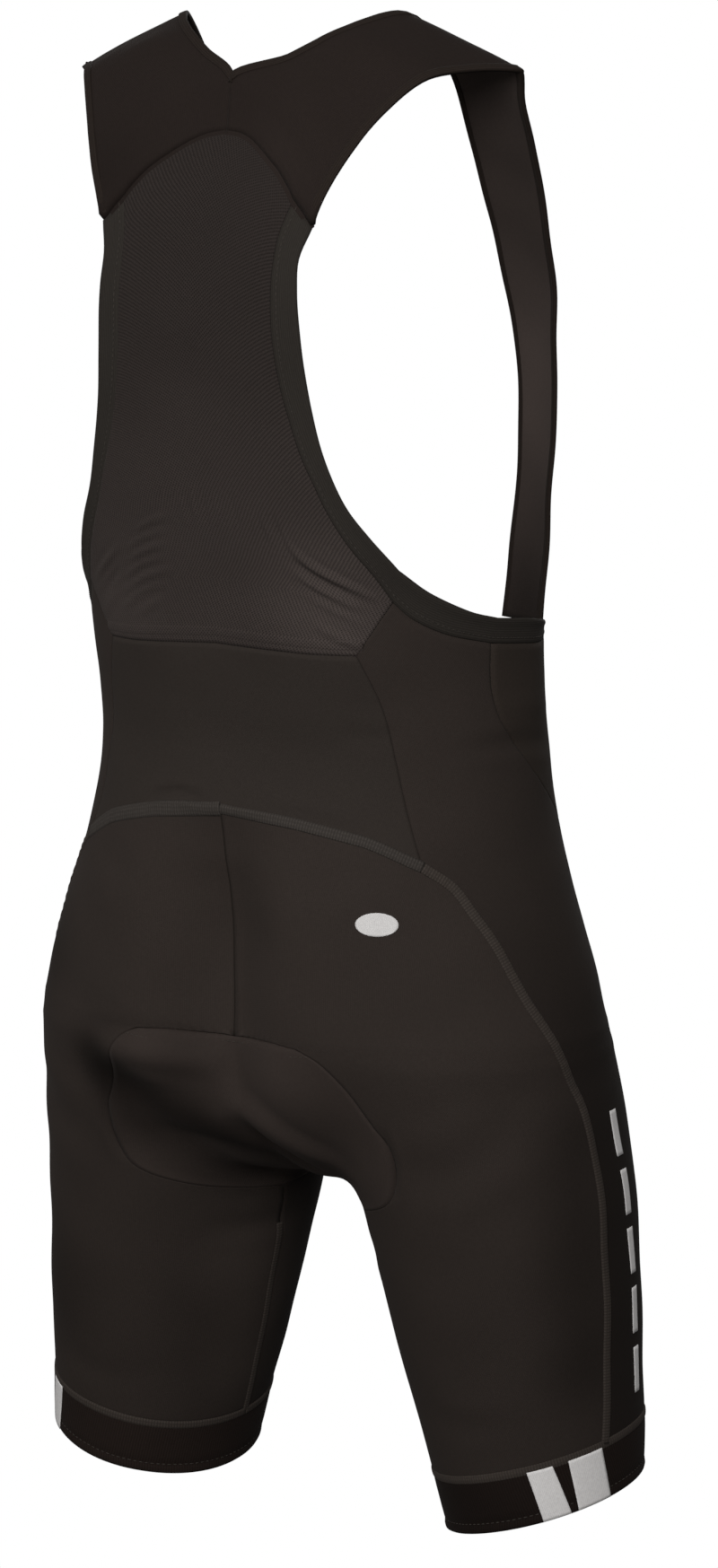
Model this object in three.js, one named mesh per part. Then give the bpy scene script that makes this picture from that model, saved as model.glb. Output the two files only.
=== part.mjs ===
import * as THREE from "three";

// Cycling bib shorts in their hollow worn pose.  Millimetres, +Z up, the wearer
// faces -Y, the wearer's left is +X.  The origin lies on the shoulder line,
// between the two straps, at the height of their neck ends.

// Main sizes
const BODY_AXIS_Y = -28;      // body axis, behind which the tables count +Y
const WALL = 1.6;             // knit wall
const PAD_WALL = 7.0;         // seat pad, wall at its thickest
const PAD_SWELL = 3.2;        // how far the pad pushes the cloth out
const SEAM_GAP = 0.3;         // room between two pieces at a seam
const SEAM_RISE = 0.7;        // height of a raised flat seam
const SEAM_HALF = 3.5;        // half width of a raised flat seam
const SEAM_FOOT = 6.0;        // where its slope ends
const HEM_BAND = 31;          // height of the leg gripper
const STRAP_RIDGE = 0.72;     // share of the strap's length before the top of the shoulder
const STRAP_CROWN = 2.4;      // how far the straps arch between their edges
const STRAP_JOIN = 0.8;       // share of the strap's length from which the two straps are one yoke

// Torso sections.  Columns: z, half width, depth behind axis, depth before axis,
// corner power behind and before
const TORSO = [
  [-20, 152, 66, 70, 2.4, 2.2],
  [-62, 155, 92, 82, 2.4, 2.2],
  [-85, 155, 107, 90, 2.4, 2.2],
  [-115, 155, 119, 96, 2.4, 2.2],
  [-157, 155, 127, 101, 2.4, 2.2],
  [-205, 152, 124, 103, 2.4, 2.2],
  [-255, 147, 121, 101, 2.4, 2.1],
  [-292, 143, 116, 95, 2.4, 2],
  [-317, 140, 110, 89, 2.35, 2],
  [-354, 137.5, 104, 86, 2.25, 2],
  [-380, 138, 99.5, 91, 2.15, 2],
  [-406, 138, 97, 99.5, 2.12, 2],
  [-441, 141, 102, 106.5, 2.1, 2],
  [-484, 153, 111.5, 108, 2.1, 2],
  [-510, 163.5, 113, 106, 2.1, 2],
  [-536, 172.5, 113.5, 106, 2.1, 2],
  [-562, 178, 112.5, 107, 2.15, 2],
];
const DOME_TOP = -562;        // below it the torso rounds in to the crotch
const DOME_DEPTH = 97;
const DOME_SQUARE = 1.8;

// Hollow between the two seat rounds.  Columns: z, depth
const SEAT_HOLLOW = [
  [-438, 1],
  [-462, 11],
  [-487, 22],
  [-524, 26],
  [-564, 25],
  [-600, 18],
  [-635, 6],
];
const SEAT_HOLLOW_SPREAD = 34;

// Leg tubes.  Columns: z, centre out, centre y, half width, half depth
const LEG = [
  [-530, 91, 0, 78.5, 88.5],
  [-565, 94, -2, 80.5, 91.5],
  [-588, 97, -5, 82, 91.7],
  [-620, 102, -10, 82, 88.8],
  [-655, 108, -15, 80, 83.8],
  [-690, 113.5, -17.5, 76.8, 79.8],
  [-748, 122.5, -19, 70.8, 73],
  [-800, 131, -20.5, 64, 65.5],
  [-850, 139, -21.5, 57.8, 59.6],
];
const LEG_TOP = -575;
const LEG_FADE = 0.32;
const LEG_BLEND = 14;
const LEG_SKEW = 0.05;         // outer side set back, inner side set forward

// Axis from which the cloth is measured.  Columns: z, out, y
const HUB = [
  [-20, 30, 0],
  [-300, 40, 0],
  [-470, 44, 0],
  [-520, 62, 0],
  [-562, 84, 0],
  [-620, 100, -8],
  [-690, 113, -17.5],
  [-748, 122.5, -19],
  [-800, 131, -20.5],
  [-850, 139, -21.5],
];

// Hem of a leg: height over the angle round the leg
const HEM_HEIGHT = -835.5;
const HEM_TILT = 15;
const HEM_DIP = 9;

// Armhole edge, from the yoke down the back and under the arm to the strap.
// Columns: out, y, z
const ARMHOLE_BACK = [
  [72, 114, -115],
  [66.2, 117, -131],
  [66.6, 119, -148],
  [68, 119, -166],
  [69.8, 117, -190],
  [73, 114, -214],
  [78.2, 110, -238],
  [87, 104, -263],
  [97, 95, -281],
  [108.4, 82.5, -300],
];
const ARMHOLE_UNDER = [
  [108.4, 82.5, -300],
  [119.4, 68, -313],
  [131, 47, -324],
  [137, 28, -329],
];
const ARMHOLE_FRONT = [
  [137, 28, -329],
  [137, 0, -331.5],
  [132, -27, -335.5],
  [118, -46, -340.5],
];

// Seam lines on the cloth.  Columns: out, y, z
const YOKE_ARCH = [
  [0, 92, -64],
  [12, 95.5, -66],
  [24.5, 100, -71.5],
  [41.6, 105, -83],
  [52, 108, -93],
  [58, 112, -100],
];
const YOKE_ARCH_END = [
  [58, 112, -100],
  [65, 113, -107],
  [72, 114, -115],
];
const BAND_BACK = [
  [58, 112, -100],
  [52.5, 116, -118],
  [51.2, 121, -137],
  [51.5, 123, -157],
  [52.4, 122.6, -176],
  [55.5, 119.6, -201],
  [59.9, 117.5, -219],
  [65.8, 114.8, -238],
  [72.2, 111.3, -254],
  [78.5, 107, -270],
  [87.2, 100, -287],
  [96.8, 90.6, -303],
  [103.5, 81.5, -318],
];
const MESH_CORNER = [
  [103.5, 81.5, -318],
  [94.6, 84, -331],
  [83, 86, -348],
];
const MESH_FOOT = [
  [0, 102, -345],
  [40, 99, -347],
  [60, 94, -348],
  [83, 86, -348],
];
const WAIST_SIDE = [
  [83, 86, -348],
  [93, 76, -378],
  [98, 71, -405],
  [104, 69.8, -430],
  [116, 70, -464.5],
];
const WAIST = [
  [0, 105, -438],
  [28, 102, -440.4],
  [51, 98, -443],
  [80, 89.4, -449],
  [94, 83, -453.4],
  [116, 70, -464.5],
];
const BAND_UNDER = [
  [103.5, 81.5, -318],
  [111, 72, -328],
  [123, 56, -337],
  [134.5, 31, -343],
];
const BAND_FRONT = [
  [134.5, 31, -343],
  [138, 8, -345],
  [134, -20, -346.5],
  [116, -48, -342],
];
const STRAP_FOOT = [
  [116, -48, -342],
  [94, -66, -342.5],
  [73.5, -73.7, -343],
];
const BIB_NECK = [
  [73.5, -73.7, -343],
  [34, -84, -349],
  [0, -87, -352],
];
const BIB_SIDE = [
  [134.5, 31, -343],
  [133, 29, -368],
  [134, 22, -387],
  [136, 10, -401],
  [137.4, -3, -415],
  [136.6, -19, -429],
];
const BIB_FOOT = [
  [136.6, -19, -429],
  [128, -47, -449],
  [96, -78, -476],
  [50, -97, -502],
  [0, -100, -520],
];
const FRONT_CENTRE = [-520, -612];
const BACK_CENTRE = [-438, -568];
const PAD_REAR = [
  [0, 88, -568],
  [22, 95, -566.5],
  [38, 101, -565.5],
  [55, 105.6, -566.5],
];
const PAD_SIDE = [
  [55, 105.6, -566.5],
  [69.8, 102.7, -574],
  [81, 95, -588],
  [90, 83.5, -607],
  [98, 76.5, -624],
  [97, 69.5, -645],
  [88, 60, -659],
  [70, 38, -668],
  [54, 15, -673],
  [46, -8, -675],
];
const PAD_FRONT_SIDE = [
  [46, -8, -675],
  [42, -34, -669],
  [40, -60, -650],
  [38, -82, -618],
];
const PAD_FRONT = [
  [38, -82, -618],
  [18, -88, -613],
  [0, -90, -612],
];

// Seam from the waist down the side of the leg.  Columns: out, y, z
const SIDE_UPPER = [
  [116, 70, -464.5],
  [130, 60, -476],
  [140, 53.5, -492],
  [149, 47, -509],
  [162, 38.5, -538],
  [172, 29, -559],
  [179, 16, -585],
  [182.3, 7.4, -603],
];
// and in the leg.  Columns: degrees from the inner side, z
const SIDE_LEG = [
  [173, -640],
  [170, -680],
  [168, -720],
  [165, -765],
];
const SIDE_LEG_END = 162;
const SIDE_LENGTH = 365;      // about its whole length
const SIDE_HIP = 0.34;        // share of it above the fold of the seat
const SIDE_THIGH = 0.71;      // share of it above the crotch
const INSEAM_END = 0;

// Strap from the bib over the shoulder.  Columns: neck side x, y, z, arm side x, y, z
const STRAP = [
  [74.5, -73.2, -341.6, 116, -48, -341],
  [76.2, -77, -305, 119, -48.5, -305],
  [78.2, -80.5, -272, 121, -48.5, -272],
  [80.2, -81, -222, 126, -46, -222],
  [80.2, -76, -184, 129, -41, -184],
  [80.7, -62.7, -147, 132.5, -34, -147],
  [81.8, -40, -98, 135.5, -17, -98],
  [82.4, -25.5, -70, 139, -2, -71],
  [82.8, -12, -42, 142.5, 12, -49],
  [81.5, -2.5, -27, 146, 19, -38],
  [78.5, 13, -10, 148.5, 24, -33],
  [73.4, 29, 0, 148.5, 28.5, -31],
  [60, 48, -4, 132, 47, -31],
  [43, 64, -11, 116, 68, -35.5],
  [22, 76, -22, 101, 86, -53],
  [0, 86, -32, 89, 98.5, -73],
  [0, 89.5, -47, 79, 108, -95],
  [0, 92, -64, 72, 114, -115],
];

// Folds round the pad: the lower edge of its lobe and the hollow under it.
// Columns: half width, height, then three points of the fold as out, y, z
const FOLDS = [
  [9, 2.2, 90, 88, -590, 54, 101, -587, 8, 88, -594],
  [9, -3.0, 92, 82, -608, 50, 88, -609, 8, 80, -616],
  [14, -3.4, 90, 74, -626, 40, 65, -634, 4, 48, -650],
];

// Number of steps along each seam; steps on the two sides of a piece agree
const STEPS = {
  archEnd: 2,
  bandBack: 14,
  bandUnder: 10,
  bandFront: 4,
  meshCorner: 2,
  waistSide: 8,
  strapFoot: 6,
  bibNeck: 4,
  bibSide: 7,
  padRear: 5,
  padSide: 11,
  padFrontSide: 5,
  frontCentre: 5,
  backCentre: 10,
  inseam: 9,
  strap: 34,
};
const WIDE = 10;              // steps across the seat and the side of a leg
STEPS.bibFoot = STEPS.bandFront + STEPS.strapFoot + STEPS.bibNeck;
STEPS.side = STEPS.backCentre + STEPS.padRear + STEPS.padSide + STEPS.inseam;

// Small helpers

const rad = (d) => (d * Math.PI) / 180;
const mix = (a, b, t) => a + (b - a) * t;
const sub = (p, q) => [p[0] - q[0], p[1] - q[1], p[2] - q[2]];
const add = (p, q, k = 1) => [p[0] + q[0] * k, p[1] + q[1] * k, p[2] + q[2] * k];
const dot = (p, q) => p[0] * q[0] + p[1] * q[1] + p[2] * q[2];
const cross = (p, q) => [
  p[1] * q[2] - p[2] * q[1],
  p[2] * q[0] - p[0] * q[2],
  p[0] * q[1] - p[1] * q[0],
];
const size = (p) => Math.hypot(p[0], p[1], p[2]);
const unit = (p) => {
  const n = size(p) || 1;
  return [p[0] / n, p[1] / n, p[2] / n];
};

// Smooth value of one column of a table whose first column falls
function column(table, z, c) {
  const last = table.length - 1;
  if (z >= table[0][0]) return table[0][c];
  if (z <= table[last][0]) return table[last][c];
  let i = 0;
  while (z < table[i + 1][0]) i += 1;
  const slope = (k) => {
    const a = table[Math.max(k - 1, 0)];
    const b = table[Math.min(k + 1, last)];
    return (b[c] - a[c]) / (b[0] - a[0]);
  };
  const p = table[i];
  const q = table[i + 1];
  const h = q[0] - p[0];
  const t = (z - p[0]) / h;
  return (
    (1 + 2 * t) * (1 - t) ** 2 * p[c] +
    t * (1 - t) ** 2 * h * slope(i) +
    t * t * (3 - 2 * t) * q[c] +
    t * t * (t - 1) * h * slope(i + 1)
  );
}

function softMin(a, b, k) {
  const h = Math.max(k - Math.abs(a - b), 0) / k;
  return Math.min(a, b) - (h * h * k) / 4;
}

// Signed reach of the worn form: below zero inside, above zero outside
function reach(x, y, z) {
  const out = Math.sqrt(x * x + 4);
  const level = Math.max(z, DOME_TOP);
  const a = column(TORSO, level, 1);
  let b = column(TORSO, level, y >= 0 ? 2 : 3);
  if (y >= 0) b -= column(SEAT_HOLLOW, z, 1) * Math.exp(-((x / SEAT_HOLLOW_SPREAD) ** 2));
  const n = column(TORSO, level, y >= 0 ? 4 : 5);
  let g = (Math.abs(x / a) ** n + Math.abs(y / b) ** n) ** (1 / n);
  const drop = Math.max(DOME_TOP - z, 0);
  const m = DOME_SQUARE;
  g = (g ** m + (drop / DOME_DEPTH) ** m) ** (1 / m);
  const torso = Math.hypot(x, y, drop) * (1 - 1 / Math.max(g, 0.05));
  const u = out - column(LEG, z, 1);
  const v = y - column(LEG, z, 2);
  const w = Math.hypot(u / column(LEG, z, 3), (v - LEG_SKEW * u) / column(LEG, z, 4));
  const leg = Math.hypot(u, v) * (1 - 1 / Math.max(w, 0.05)) + Math.max(z - LEG_TOP, 0) * LEG_FADE;
  return softMin(torso, leg, LEG_BLEND);
}

function outward(p) {
  const h = 0.4;
  return unit([
    reach(p[0] + h, p[1], p[2]) - reach(p[0] - h, p[1], p[2]),
    reach(p[0], p[1] + h, p[2]) - reach(p[0], p[1] - h, p[2]),
    reach(p[0], p[1], p[2] + h) - reach(p[0], p[1], p[2] - h),
  ]);
}

// First point of the form along a ray from inside
function meet(from, way) {
  let lo = 0;
  let hi = 0;
  const value = (r) => reach(from[0] + way[0] * r, from[1] + way[1] * r, from[2] + way[2] * r);
  for (hi = 4; hi < 260 && value(hi) < 0; hi += 4) lo = hi;
  for (let k = 0; k < 24; k += 1) {
    const mid = (lo + hi) / 2;
    if (value(mid) < 0) lo = mid;
    else hi = mid;
  }
  return add(from, way, (lo + hi) / 2);
}

// Nearest point of the form
function settle(p) {
  let q = p;
  for (let k = 0; k < 12; k += 1) {
    const d = reach(q[0], q[1], q[2]);
    const n = outward(q);
    q = add(q, n, -d * 0.8);
  }
  return q;
}

const hubAt = (z) => [column(HUB, z, 1), column(HUB, z, 2), z];

// Place on the cloth: angle from the inner side by way of the back, and height
function onCloth(turn, z) {
  return meet(hubAt(z), [-Math.cos(turn), Math.sin(turn), 0]);
}

function placeOf(key, front) {
  const p = key[0] === 0 ? meet([0, 0, key[2]], [0, Math.sign(key[1]), 0]) : key;
  const hub = hubAt(p[2]);
  let turn = Math.atan2(p[1] - hub[1], hub[0] - p[0]);
  if (front && turn < rad(100)) turn += 2 * Math.PI;
  return [turn, p[2]];
}

// Smooth line through key places, then even steps along it.  The fine
// steps at an end carry the raised edge of a flat seam.
function smoothLine(keys, fine = 24) {
  const line = [];
  const last = keys.length - 1;
  for (let i = 0; i < last; i += 1) {
    for (let k = 0; k < fine; k += 1) {
      const t = k / fine;
      line.push(keys[i].map((_, c) => {
        const a = keys[Math.max(i - 1, 0)][c];
        const b = keys[i][c];
        const d = keys[i + 1][c];
        const e = keys[Math.min(i + 2, last)][c];
        const s = i === 0 ? d - b : (d - a) / 2;
        const r = i + 1 === last ? d - b : (e - b) / 2;
        return (
          (1 + 2 * t) * (1 - t) ** 2 * b + t * (1 - t) ** 2 * s +
          t * t * (3 - 2 * t) * d + t * t * (t - 1) * r
        );
      }));
    }
  }
  line.push(keys[last]);
  return line;
}

function fractions(steps, length, start, end) {
  const fine = [0];
  if (start) fine.push(SEAM_HALF / length, SEAM_FOOT / length);
  const tail = end ? [1 - SEAM_FOOT / length, 1 - SEAM_HALF / length, 1] : [1];
  const plain = steps + 1 - fine.length - tail.length;
  const from = fine[fine.length - 1];
  const to = tail[0];
  for (let k = 1; k <= plain; k += 1) fine.push(mix(from, to, k / (plain + 1)));
  return fine.concat(tail);
}

// A seam: places on the cloth at chosen steps, shared by both of its pieces
function seam(keys, steps, { front = false, start = false, end = false, places = false, share = null } = {}) {
  const line = smoothLine(places ? keys : keys.map((p) => placeOf(p, front)));
  const points = line.map(([turn, z]) => onCloth(turn, z));
  const run = [0];
  for (let k = 1; k < points.length; k += 1) {
    run.push(run[k - 1] + size(sub(points[k], points[k - 1])));
  }
  const total = run[run.length - 1];
  const parts = share || fractions(steps, total, start, end);
  return parts.map((f) => {
    let k = 1;
    while (k < run.length - 1 && run[k] < f * total) k += 1;
    const t = (f * total - run[k - 1]) / (run[k] - run[k - 1] || 1);
    return line[k].map((v, c) => mix(line[k - 1][c], v, t));
  });
}

// A seam on the centre line between two heights, behind (1) or in front (-1)
function centreSeam(high, low, sense, steps, { start = false, end = false } = {}) {
  return fractions(steps, high - low, start, end).map((f) => placeOf([0, sense, mix(high, low, f)], sense < 0));
}

const chain = (...lines) => lines.reduce((all, line) => all.concat(line.slice(all.length ? 1 : 0)), []);
const reversed = (line) => line.slice().reverse();
const turned = (line) => line.map(([turn, z]) => [turn < rad(100) ? turn + 2 * Math.PI : turn, z]);

// Fill four seams (as places) with cloth points.  top and foot run along s, near and far along t
function fill(top, foot, near, far, across) {
  const rows = near.length - 1;
  const grid = [];
  for (let i = 0; i <= rows; i += 1) {
    const t = i / rows;
    const row = [];
    for (let j = 0; j < across.length; j += 1) {
      const s = across[j];
      const place = [0, 1].map((c) =>
        mix(near[i][c], far[i][c], s) + mix(top[j][c], foot[j][c], t) -
        mix(mix(near[0][c], far[0][c], s), mix(near[rows][c], far[rows][c], s), t));
      row.push(onCloth(place[0], place[1]));
    }
    grid.push(row);
  }
  return grid;
}

// Move the edge points of a piece in by half a seam gap, square to the seam
function trim(grid, normals, sides) {
  const rows = grid.length - 1;
  const cols = grid[0].length - 1;
  const moves = [];
  const shift = (i, j, alongA, alongB, inner) => {
    const tangent = unit(sub(grid[alongB[0]][alongB[1]], grid[alongA[0]][alongA[1]]));
    let way = unit(cross(normals[i][j], tangent));
    if (dot(way, sub(grid[inner[0]][inner[1]], grid[i][j])) < 0) way = way.map((v) => -v);
    moves.push([i, j, way]);
  };
  for (let j = 0; j <= cols; j += 1) {
    const a = Math.max(j - 1, 0);
    const b = Math.min(j + 1, cols);
    if (sides.top) shift(0, j, [0, a], [0, b], [1, j]);
    if (sides.foot) shift(rows, j, [rows, a], [rows, b], [rows - 1, j]);
  }
  for (let i = 0; i <= rows; i += 1) {
    const a = Math.max(i - 1, 0);
    const b = Math.min(i + 1, rows);
    if (sides.near) shift(i, 0, [a, 0], [b, 0], [i, 1]);
    if (sides.far) shift(i, cols, [a, cols], [b, cols], [i, cols - 1]);
  }
  for (const [i, j, way] of moves) grid[i][j] = add(grid[i][j], way, SEAM_GAP / 2);
}

const eachPoint = (grid, make) => grid.map((row, i) => row.map((p, j) => make(p, i, j)));

// Normals from the grid itself, for cloth that hangs off the form
function gridNormals(grid, side) {
  const rows = grid.length - 1;
  const cols = grid[0].length - 1;
  return eachPoint(grid, (p, i, j) => {
    const down = sub(grid[Math.min(i + 1, rows)][j], grid[Math.max(i - 1, 0)][j]);
    const across = sub(grid[i][Math.min(j + 1, cols)], grid[i][Math.max(j - 1, 0)]);
    return unit(cross(down, across)).map((v) => v * side);
  });
}

// Raised edge along the seams named: the two outermost rows or columns
function edgeRise(i, j, rows, cols, raised) {
  const near = (k, last, flag, flagEnd) => (flag && k <= 1) || (flagEnd && k >= last - 1);
  return near(i, rows, raised.top, raised.foot) || near(j, cols, raised.near, raised.far) ? SEAM_RISE : 0;
}

// Turn a half that ends on the centre line into the whole piece
function bothHalves(grid) {
  return grid.map((row) => {
    const other = row.slice(1).reverse().map(([x, y, z]) => [-x, y, z]);
    return other.concat([[0, row[0][1], row[0][2]]], row.slice(1));
  });
}

const mirrored = (grid) => grid.map((row) => row.map(([x, y, z]) => [-x, y, z]));

// One closed body from an outer and an inner grid
function body(name, outer, inner, color, tube = false) {
  const rows = outer.length;
  const cols = outer[0].length;
  const points = [];
  for (const grid of [outer, inner]) {
    for (const row of grid) for (const [x, y, z] of row) points.push([x, y + BODY_AXIS_Y, z]);
  }
  const at = (layer, i, j) => layer * rows * cols + i * cols + (j % cols);
  const faces = [];
  const quad = (a, b, c, d) => {
    const cut = size(sub(points[a], points[c])) <= size(sub(points[b], points[d]));
    if (cut) faces.push([a, b, c], [a, c, d]);
    else faces.push([a, b, d], [b, c, d]);
  };
  // An edge wall is cut from its higher outer corner, so that both pieces at a seam cut alike
  const rank = (k) => points[k][2] + 0.37 * Math.abs(points[k][0]) + 0.11 * points[k][1];
  const edge = (o1, o2, i2, i1, turn) => {
    const tris = rank(o1) >= rank(o2) ? [[o1, o2, i2], [o1, i2, i1]] : [[o1, o2, i1], [o2, i2, i1]];
    for (const tri of tris) faces.push(turn ? tri.reverse() : tri);
  };
  const spans = tube ? cols : cols - 1;
  for (let i = 0; i < rows - 1; i += 1) {
    for (let j = 0; j < spans; j += 1) {
      quad(at(0, i, j), at(0, i + 1, j), at(0, i + 1, j + 1), at(0, i, j + 1));
      quad(at(1, i, j), at(1, i, j + 1), at(1, i + 1, j + 1), at(1, i + 1, j));
    }
  }
  for (let j = 0; j < spans; j += 1) {
    edge(at(0, 0, j), at(0, 0, j + 1), at(1, 0, j + 1), at(1, 0, j), false);
    edge(at(0, rows - 1, j), at(0, rows - 1, j + 1), at(1, rows - 1, j + 1), at(1, rows - 1, j), true);
  }
  if (!tube) {
    for (let i = 0; i < rows - 1; i += 1) {
      edge(at(0, i, 0), at(0, i + 1, 0), at(1, i + 1, 0), at(1, i, 0), true);
      edge(at(0, i, cols - 1), at(0, i + 1, cols - 1), at(1, i + 1, cols - 1), at(1, i, cols - 1), false);
    }
  }
  let volume = 0;
  for (const [a, b, c] of faces) volume += dot(points[a], cross(points[b], points[c])) / 6;
  if (volume < 0) for (const face of faces) face.reverse();
  const geometry = new THREE.BufferGeometry();
  geometry.setAttribute("position", new THREE.Float32BufferAttribute(points.flat(), 3));
  geometry.setIndex(faces.flat());
  geometry.computeVertexNormals();
  const material = new THREE.MeshStandardMaterial({ color, roughness: 0.85, side: THREE.DoubleSide });
  const mesh = new THREE.Mesh(geometry, material);
  mesh.name = name;
  group.add(mesh);
}

// Distance of a point from the line between two others
function gapTo(p, a, b) {
  const way = sub(b, a);
  const t = Math.min(1, Math.max(0, dot(sub(p, a), way) / dot(way, way)));
  return size(sub(p, add(a, way, t)));
}

// Height of the folds at a point of the cloth
function foldHeight(p) {
  return FOLDS.reduce((sum, [halfWidth, height, ...line]) => {
    const [a, b, c] = [line.slice(0, 3), line.slice(3, 6), line.slice(6, 9)];
    const gap = Math.min(gapTo(p, a, b), gapTo(p, b, c));
    return sum + height * Math.exp(-((gap / halfWidth) ** 2));
  }, 0);
}

// Cloth walls on the form: inner wall plain, outer wall with its raised edges
function walls(grid, raised, { sides = { top: true, foot: true, near: true, far: true }, swell = null } = {}) {
  const rows = grid.length - 1;
  const cols = grid[0].length - 1;
  const normals = eachPoint(grid, outward);
  trim(grid, normals, sides);
  const outer = eachPoint(grid, (p, i, j) =>
    add(p, normals[i][j], foldHeight(p) + edgeRise(i, j, rows, cols, raised) + (swell ? swell(i / rows, j / cols)[0] : 0)));
  const inner = eachPoint(grid, (p, i, j) =>
    add(p, normals[i][j], foldHeight(p) - WALL - (swell ? swell(i / rows, j / cols)[1] : 0)));
  return [outer, inner];
}

function pair(name, outer, inner, color) {
  body(`${name}_left`, outer, inner, color);
  body(`${name}_right`, mirrored(outer), mirrored(inner), color);
}

const COLOR = {
  strap: 0x2c2825,
  mesh: 0x38322f,
  band: 0x211d1a,
  lowerBack: 0x2d2926,
  seat: 0x2f2b27,
  side: 0x27231f,
  bib: 0x302c29,
  pad: 0x312d29,
  hem: 0x1b1714,
};

const group = new THREE.Group();
group.name = "bib_shorts";

// Shared seams

const hemTop = (turn) => HEM_HEIGHT + HEM_BAND - HEM_TILT * Math.cos(turn) - HEM_DIP * Math.sin(turn);
const sideEnd = [rad(SIDE_LEG_END), hemTop(rad(SIDE_LEG_END))];
const inseamEnd = [rad(INSEAM_END), hemTop(rad(INSEAM_END))];

const wideIn = fractions(WIDE, 190, false, true);
const wideOut = wideIn.map((f) => 1 - f).reverse();

const arch = seam(YOKE_ARCH, WIDE, { share: wideIn });
const archEnd = seam(YOKE_ARCH_END, STEPS.archEnd);
const bandBack = seam(BAND_BACK, STEPS.bandBack);
const bandUnder = seam(BAND_UNDER, STEPS.bandUnder, { front: true, share: wideOut });
const bandFront = seam(BAND_FRONT, STEPS.bandFront, { front: true });
const armBack = seam(ARMHOLE_BACK, STEPS.bandBack);
const armUnder = seam(ARMHOLE_UNDER, STEPS.bandUnder, { front: true, share: wideOut });
const armFront = seam(ARMHOLE_FRONT, STEPS.bandFront, { front: true });
const meshCorner = seam(MESH_CORNER, STEPS.meshCorner);
const meshFoot = seam(MESH_FOOT, WIDE, { share: wideIn });
const waistSide = seam(WAIST_SIDE, STEPS.waistSide, { end: true });
const waist = seam(WAIST, WIDE, { share: wideIn });
const strapFoot = seam(STRAP_FOOT, STEPS.strapFoot, { front: true });
const bibNeck = seam(BIB_NECK, STEPS.bibNeck, { front: true });
const bibSide = seam(BIB_SIDE, STEPS.bibSide, { front: true });
const bibFoot = seam(BIB_FOOT, STEPS.bibFoot, { front: true });
const frontCentre = centreSeam(...FRONT_CENTRE, -1, STEPS.frontCentre);
const backCentre = centreSeam(...BACK_CENTRE, 1, STEPS.backCentre, { start: true });
const padRear = seam(PAD_REAR, STEPS.padRear);
const padSide = seam(PAD_SIDE, STEPS.padSide);
const padFrontSide = seam(PAD_FRONT_SIDE, STEPS.padFrontSide, { front: true });
const padFront = seam(PAD_FRONT, STEPS.padRear, { front: true });
const sideHip = fractions(STEPS.backCentre + STEPS.padRear, SIDE_LENGTH * SIDE_HIP, true, false);
const sideThigh = fractions(STEPS.padSide, 1, false, false);
const sideKnee = fractions(STEPS.inseam, SIDE_LENGTH * (1 - SIDE_THIGH), false, true);
const side = seam(
  SIDE_UPPER.map((p) => placeOf(p, false)).concat(SIDE_LEG.map(([d, z]) => [rad(d), z]), [sideEnd]),
  STEPS.side, {
    places: true,
    share: chain(
      sideHip.map((f) => f * SIDE_HIP),
      sideThigh.map((f) => mix(SIDE_HIP, SIDE_THIGH, f)),
      sideKnee.map((f) => mix(SIDE_THIGH, 1, f))),
  });
const inseam = seam([padSide[STEPS.padSide], [rad(3), -740], inseamEnd], STEPS.inseam, { places: true, end: true });

const hemRear = wideIn.map((f) => {
  const turn = mix(inseamEnd[0], sideEnd[0], f);
  return [turn, hemTop(turn)];
});
const hemFore = wideOut.map((f) => {
  const turn = mix(sideEnd[0], inseamEnd[0] + 2 * Math.PI, f);
  return [turn, hemTop(turn)];
});

// Back mesh: yoke arch to waist piece, between the armhole bands

const meshSide = chain(bandBack, meshCorner);
const meshCentre = centreSeam(YOKE_ARCH[0][2], MESH_FOOT[0][2], 1, meshSide.length - 1);
const meshHalf = fill(arch, meshFoot, meshCentre, meshSide, wideIn);
{
  const [outer, inner] = walls(meshHalf, {}, { sides: { top: true, foot: true, far: true } });
  body("back_mesh", bothHalves(outer), bothHalves(inner), COLOR.mesh);
}

// Waist piece behind, under the mesh

const lowerCentre = centreSeam(MESH_FOOT[0][2], WAIST[0][2], 1, STEPS.waistSide, { end: true });
{
  const half = fill(meshFoot, waist, lowerCentre, waistSide, wideIn);
  const [outer, inner] = walls(half, { foot: true }, { sides: { top: true, foot: true, far: true } });
  body("lower_back", bothHalves(outer), bothHalves(inner), COLOR.lowerBack);
}

// Seat and rear of the leg

{
  const grid = fill(waist, hemRear, chain(backCentre, padRear, padSide, inseam), side, wideIn);
  pair("seat", ...walls(grid, { top: true, far: true, foot: true }), COLOR.seat);
}

// Side of the body and front of the leg

{
  const near = chain(meshCorner, waistSide, side);
  const far = chain(bibSide, bibFoot, frontCentre, reversed(padFront), reversed(padFrontSide), turned(inseam));
  const grid = fill(bandUnder, hemFore, near, far, wideOut);
  pair("side", ...walls(grid, { near: true, foot: true }), COLOR.side);
}

// Front bib

{
  const top = chain(bandFront, strapFoot, bibNeck);
  const centre = centreSeam(BIB_NECK[2][2], BIB_FOOT[4][2], -1, STEPS.bibSide);
  const across = fractions(STEPS.bibFoot, 1, false, false);
  const half = fill(reversed(top), reversed(bibFoot), centre, bibSide, across);
  const [outer, inner] = walls(half, {}, { sides: { top: true, foot: true, far: true } });
  body("front_bib", bothHalves(outer), bothHalves(inner), COLOR.bib);
}

// Bands round the armholes

{
  const near = chain(bandBack, bandUnder, bandFront);
  const far = chain(armBack, armUnder, armFront);
  const grid = near.map((place, i) => [0, 0.5, 1].map((s) => onCloth(mix(place[0], far[i][0], s), mix(place[1], far[i][1], s))));
  pair("armhole_band", ...walls(grid, {}, { sides: { top: true, foot: true, near: true } }), COLOR.band);
}

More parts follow.
